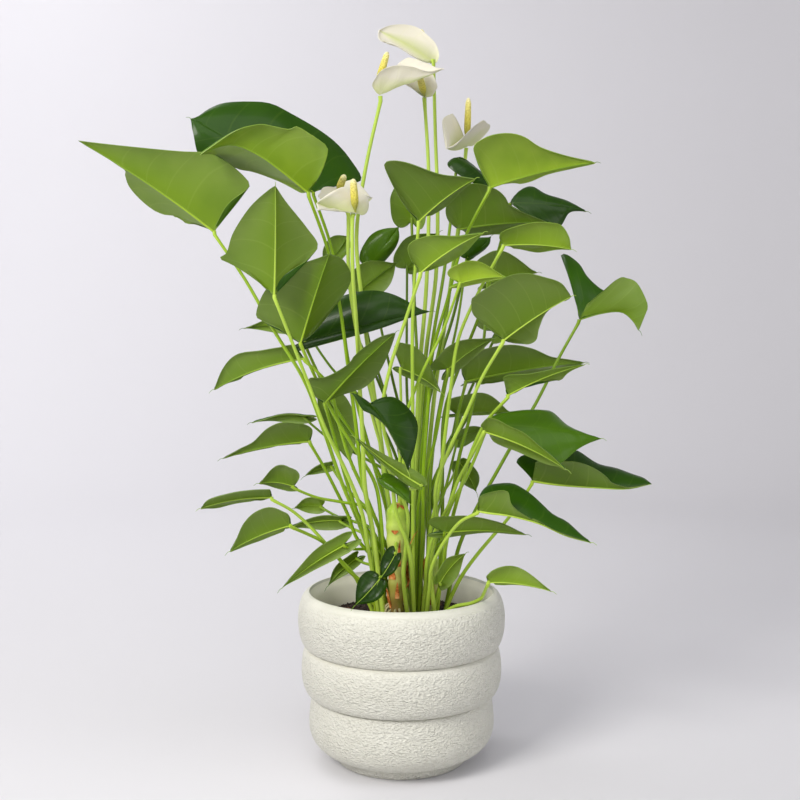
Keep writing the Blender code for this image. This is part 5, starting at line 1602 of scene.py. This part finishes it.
def make_soil():
    """The soil bed with a crumbly top, and loose crumbs and bark chips lying on it."""
    rng = random.Random(SOIL_SEED)
    edge = OPENING_RADIUS - SOIL_GAP
    profile = [(0.0, SOIL_EDGE - SOIL_DEPTH), (edge, SOIL_EDGE - SOIL_DEPTH)]
    profile += [(edge * (1 - step / SOIL_RINGS), None) for step in range(SOIL_RINGS + 1)]
    vertices, faces = turned(profile, SOIL_SIDES)
    bed = []
    for x, y, z in vertices:
        if z is None:
            z = soil_height(x, y) - BED_SUNK
            if math.hypot(x, y) < edge - BED_EVEN:
                z += rng.uniform(-BED_ROUGHNESS, BED_ROUGHNESS)
        bed.append((x, y, z))
    earth = crumbly("potting_soil_damp", 2.5, ("#0E0906", "#231711", "#4A3226"), 0.85)
    bark = crumbly("pine_bark_chips", 4, ("#2A140C", "#57301F", "#8A5636"), 0.7)
    make_piece("soil_bed", Shape().take(bed, faces, [(0, 0, 0)] * len(bed)), [earth], ("soil",))
    crumbs = Shape()
    for number in range(CRUMBS):
        reach = edge * math.sqrt(rng.random()) - CRUMB_INSET
        angle = rng.uniform(0, 2 * math.pi)
        x, y = reach * math.cos(angle), reach * math.sin(angle)
        chip = number % CHIP_EVERY == 0
        points, lump = make_lump(rng, rng.uniform(*(CHIP_SIZES if chip else CRUMB_SIZES)))
        points *= CHIP_STRETCH if chip else CRUMB_STRETCH
        points += (x, y, soil_height(x, y) - CRUMB_SUNK)
        crumbs.take(points, lump, [(0, 0, 0)] * len(points), [int(chip)] * len(lump))
    make_piece("soil_crumbs", crumbs, [earth, bark])


def stem_line(name):
    """Where a crown's stem stands, and the heights and half-widths up it, swollen at old leaves."""
    across, front, top, radius = CROWNS[name]
    ground = soil_height(across, -front) - HOLE_DEPTH
    heights = np.linspace(ground, top, STEM_RINGS)
    share = (heights - ground) / (top - ground)
    swollen = 1 + SCAR_SWELL * np.sin(2 * math.pi * (heights - ground) / SCAR_SPACING)
    taper = np.interp(share, *zip(*STEM_TAPER))
    return across, -front, heights, radius * swollen * taper


def make_stems():
    """The crowns' short stems."""
    skin = stem_skin()
    for name in CROWNS:
        x, y, heights, radii = stem_line(name)
        line = [(x, y, height) for height in heights]
        shape = Shape().take(*bar(line, radii, STEM_SIDES, MIDDLE_TONE))
        make_piece(name + "_stem", shape, [skin], (name,))


def make_sheaths():
    """The papery sheaths and scars of old leaves on the stems."""
    sheaths = Shape()
    across = np.linspace(-1, 1, SHEATH_COLUMNS)
    for name, angle, low, high, width, off in SHEATHS:
        x, y, heights, radii = stem_line(name)
        points = []
        places = []
        for share in np.linspace(0, 1, SHEATH_ROWS):
            height = low + (high - low) * share
            radius = np.interp(height, heights, radii) + SHEATH_OFF + off * share ** 2
            half = width / 2 * (1 - share ** SHEATH_TAPER) + SHEATH_TIP
            turns = [math.radians(angle - 90) + half * side / radius for side in across]
            points.append([(x + radius * math.cos(turn), y + radius * math.sin(turn), height)
                           for turn in turns])
            places.append([(share, abs(side), MIDDLE_TONE) for side in across])
        outward = np.array((math.sin(math.radians(angle)), -math.cos(math.radians(angle)), 0.0))
        sheaths.take(*sheet(np.array(points), np.array(places), SHEATH_THICKNESS, outward)[:3])
    paper = crumbly("cataphyll_dry_papery", 5, ("#7A3F14", "#C8702C", "#E0A868"), 0.7)
    make_piece("dry_sheaths", sheaths, [paper])


def make_roots():
    """Pale roots that leave the stems just over the soil."""
    rng = random.Random(ROOT_SEED)
    roots = Shape()
    for number in range(ROOTS):
        across, front, _, _ = CROWNS[list(CROWNS)[0 if number < FIRST_ROOTS else number % len(CROWNS)]]
        turn = rng.uniform(*ROOT_TURNS)
        way = np.array((math.cos(turn), math.sin(turn), 0.0))
        start = np.array((across, -front, SOIL_EDGE + rng.uniform(*ROOT_HEIGHTS))) + ROOT_START * way
        reach = way * rng.uniform(*ROOT_REACHES)
        foot = start + reach
        foot[2] = soil_height(foot[0], foot[1]) - ROOT_SUNK
        along, drop = ROOT_KNEE
        line = smooth_curve([start, start + reach * along - (0, 0, drop), foot], ROOT_RINGS)
        roots.take(*bar(line, np.linspace(*ROOT_RADII, ROOT_RINGS), ROOT_SIDES, MIDDLE_TONE))
    make_piece("aerial_roots", roots, [root_skin()])


def make_leaves(leaves):
    """Every leaf as a blade and a petiole. A crown's small leaves share one piece of each."""
    faces = [leaf_upper(), leaf_under()]
    skin = stalk_skin()
    rng = random.Random(LEAF_SEED)
    small = {name: (Shape(), Shape()) for name in CROWNS}
    count = dict.fromkeys(CROWNS, 0)
    for name, blade, stalk in leaves:
        young = name in CROWNS
        label = f"{name}_{count[name]}" if young else name
        tone = TONES.get(label, rng.uniform(*(YOUNG_TONE if young else USUAL_TONE)))
        by_chance = rng.uniform(-TONE_CHANCE, TONE_CHANCE)
        low, high = TONE_BOUNDS
        # A stalk further behind gets a lower tone, which its skin shows as painted shade
        tone_and_shade = min(max(STALK_TONE - stalk.spot[1] * SHADE_BEHIND + by_chance, low), high)
        blade_shape, bar_shape = small[name] if young else (Shape(), Shape())
        *parts, marks = blade_sheet(blade, BLADE, SMALL_LEAF if young else LARGE_LEAF, tone)
        if label in FACE_UP:
            marks = [1 - mark for mark in marks]
        blade_shape.take(*parts, marks)
        bar_shape.take(*stalk_bar(stalk, tone_and_shade, *(SMALL_STALK if young else LARGE_STALK)))
        bar_shape.take(*rib_bar(blade, tone_and_shade, 0 if name in NO_DRIP else DRIP_TIP))
        if young:
            count[name] += 1
        else:
            make_piece(name + "_blade", blade_shape, faces, (name,))
            make_piece(name + "_petiole", bar_shape, [skin], (name,))
    for name, (blade_shape, bar_shape) in small.items():
        make_piece(name + "_blades", blade_shape, faces, (name,))
        make_piece(name + "_petioles", bar_shape, [skin], (name,))


def spadix_axis(name, foot):
    """The foot and the tip of a bloom's spadix, from its solid."""
    solid = np.array([vertex.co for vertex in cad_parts[name + "_spadix"].data.vertices]) / MM
    for _ in range(SPADIX_LOOKS):
        tip = solid[np.linalg.norm(solid - foot, axis=1).argmax()]
        run = (solid - foot) @ unit(tip - foot)
        tip = solid[run > run.max() - SPADIX_END].mean(axis=0)
        foot = solid[run < run.min() + SPADIX_END].mean(axis=0)
    return foot, tip


def make_blooms(blooms):
    """Each bloom: its peduncle, its spathe, and the spadix along its solid's axis."""
    waxy = spathe_skin()
    florets = spadix_florets()
    skin = stalk_skin()
    shares = np.linspace(0, 1, SPADIX_RINGS)
    radii = np.interp(shares, *zip(*SPADIX_PROFILE)) * SPADIX_RADIUS
    even = np.ones(SPADIX_SMOOTH) / SPADIX_SMOOTH
    radii = np.convolve(np.pad(radii, SPADIX_SMOOTH // 2, mode="edge"), even, mode="valid")
    radii[-1] *= SPADIX_TIP
    for name, blade, stalk in blooms:
        shape = Shape().take(*stalk_bar(stalk, 1.0, *BLOOM_STALK))
        make_piece(name + "_peduncle", shape, [skin], (name + "_stalk",))
        shape = Shape().take(*blade_sheet(blade, SPATHE, SPATHE_STEPS, MIDDLE_TONE, SPATHE_RELIEF)[:3])
        make_piece(name + "_bract", shape, [waxy], (name + "_spathe",))
        foot, tip = spadix_axis(name, blade.joint)
        line = foot + (tip - foot) * shares[:, None]
        shape = Shape().take(*bar(line, radii, SPADIX_SIDES, MIDDLE_TONE))
        make_piece(name + "_spike", shape, [florets], (name + "_spadix",))


def backdrop_paper():
    """Studio backdrop: matt paper, which gives a soft pale grey without a sheen, with painted shade that
    deepens to the right.
    """
    material, tree, shader = make_finish("paper_backdrop_matt", {"Roughness": 0.9})
    spot = add(tree, "ShaderNodeTexCoord").outputs["Object"]
    where = add(tree, "ShaderNodeSeparateXYZ", {0: spot}).outputs
    # Painted shade across the backdrop: the grey deepens from left to right, as the light falls off
    across = add(tree, "ShaderNodeMapRange", {0: where[0], 1: -1.2, 2: 1.2, 3: 0.0, 4: 1.0})
    feeds = {0: across, 6: linear("#E4E3E7"), 7: linear("#D6D5D8")}
    feed(tree, shader, {"Base Color": add(tree, "ShaderNodeMix", feeds, data_type="RGBA")})
    return material


def make_stage():
    """A plain pale floor that sweeps up into a round backdrop."""
    profile = [(0.0, 0.0), (FLOOR_REACH, 0.0)]
    for step in range(1, SWEEP_STEPS + 1):
        angle = math.pi / 2 * step / SWEEP_STEPS
        profile.append((FLOOR_REACH + SWEEP * math.sin(angle), SWEEP * (1 - math.cos(angle))))
    profile.append((FLOOR_REACH + SWEEP, BACKDROP_HEIGHT))
    vertices, faces = turned(profile, BACKDROP_SIDES)
    mesh = bpy.data.meshes.new("backdrop")
    mesh.from_pydata(vertices, [], faces)
    mesh.shade_smooth()
    mesh.materials.append(backdrop_paper())
    floor = place_object("backdrop", mesh)
    floor.location.z = -FLOOR_SUNK


def make_camera():
    """The eye of the elevation, so that the picture is taken from the drawing's own viewpoint."""
    data = bpy.data.cameras.new("eye")
    data.sensor_width = SENSOR
    data.lens = SENSOR * EYE_AWAY / BOARD_WIDTH
    data.clip_start = 0.02
    eye = place_object("eye", data)
    eye.location = (-EYE_LEFT * MM, -EYE_AWAY * MM, EYE_UP * MM)
    eye.rotation_euler = (math.pi / 2 - EYE_DOWN, 0.0, 0.0)
    bpy.context.scene.camera = eye


def make_light(name, place, towards, size, power, colour):
    """A soft box that the camera doesn't see itself."""
    data = bpy.data.lights.new(name, "AREA")
    data.shape = "RECTANGLE"
    data.size, data.size_y = size
    data.energy = power
    data.color = linear(colour)[:3]
    light = place_object(name, data)
    light.location = place
    light.rotation_euler = (Vector(towards) - Vector(place)).to_track_quat("-Z", "Y").to_euler()
    light.visible_camera = False


def make_lights():
    """A large soft box high on the left, weaker ones round about, and one on the backdrop."""
    for box in SOFT_BOXES:
        make_light(*box)
    world = bpy.data.worlds.new("studio_air")
    world.use_nodes = True
    air = {"Color": linear("#FFFFFF"), "Strength": AIR_LIGHT}
    feed(world.node_tree, world.node_tree.nodes["Background"], air)
    bpy.context.scene.world = world
    bpy.context.scene.view_settings.view_transform = "Standard"


make_camera()
make_lights()
make_stage()
make_pot()
make_soil()
make_stems()
make_sheaths()
make_roots()
leaf_layout, bloom_layout = lay_out()
make_leaves(leaf_layout)
make_blooms(bloom_layout)
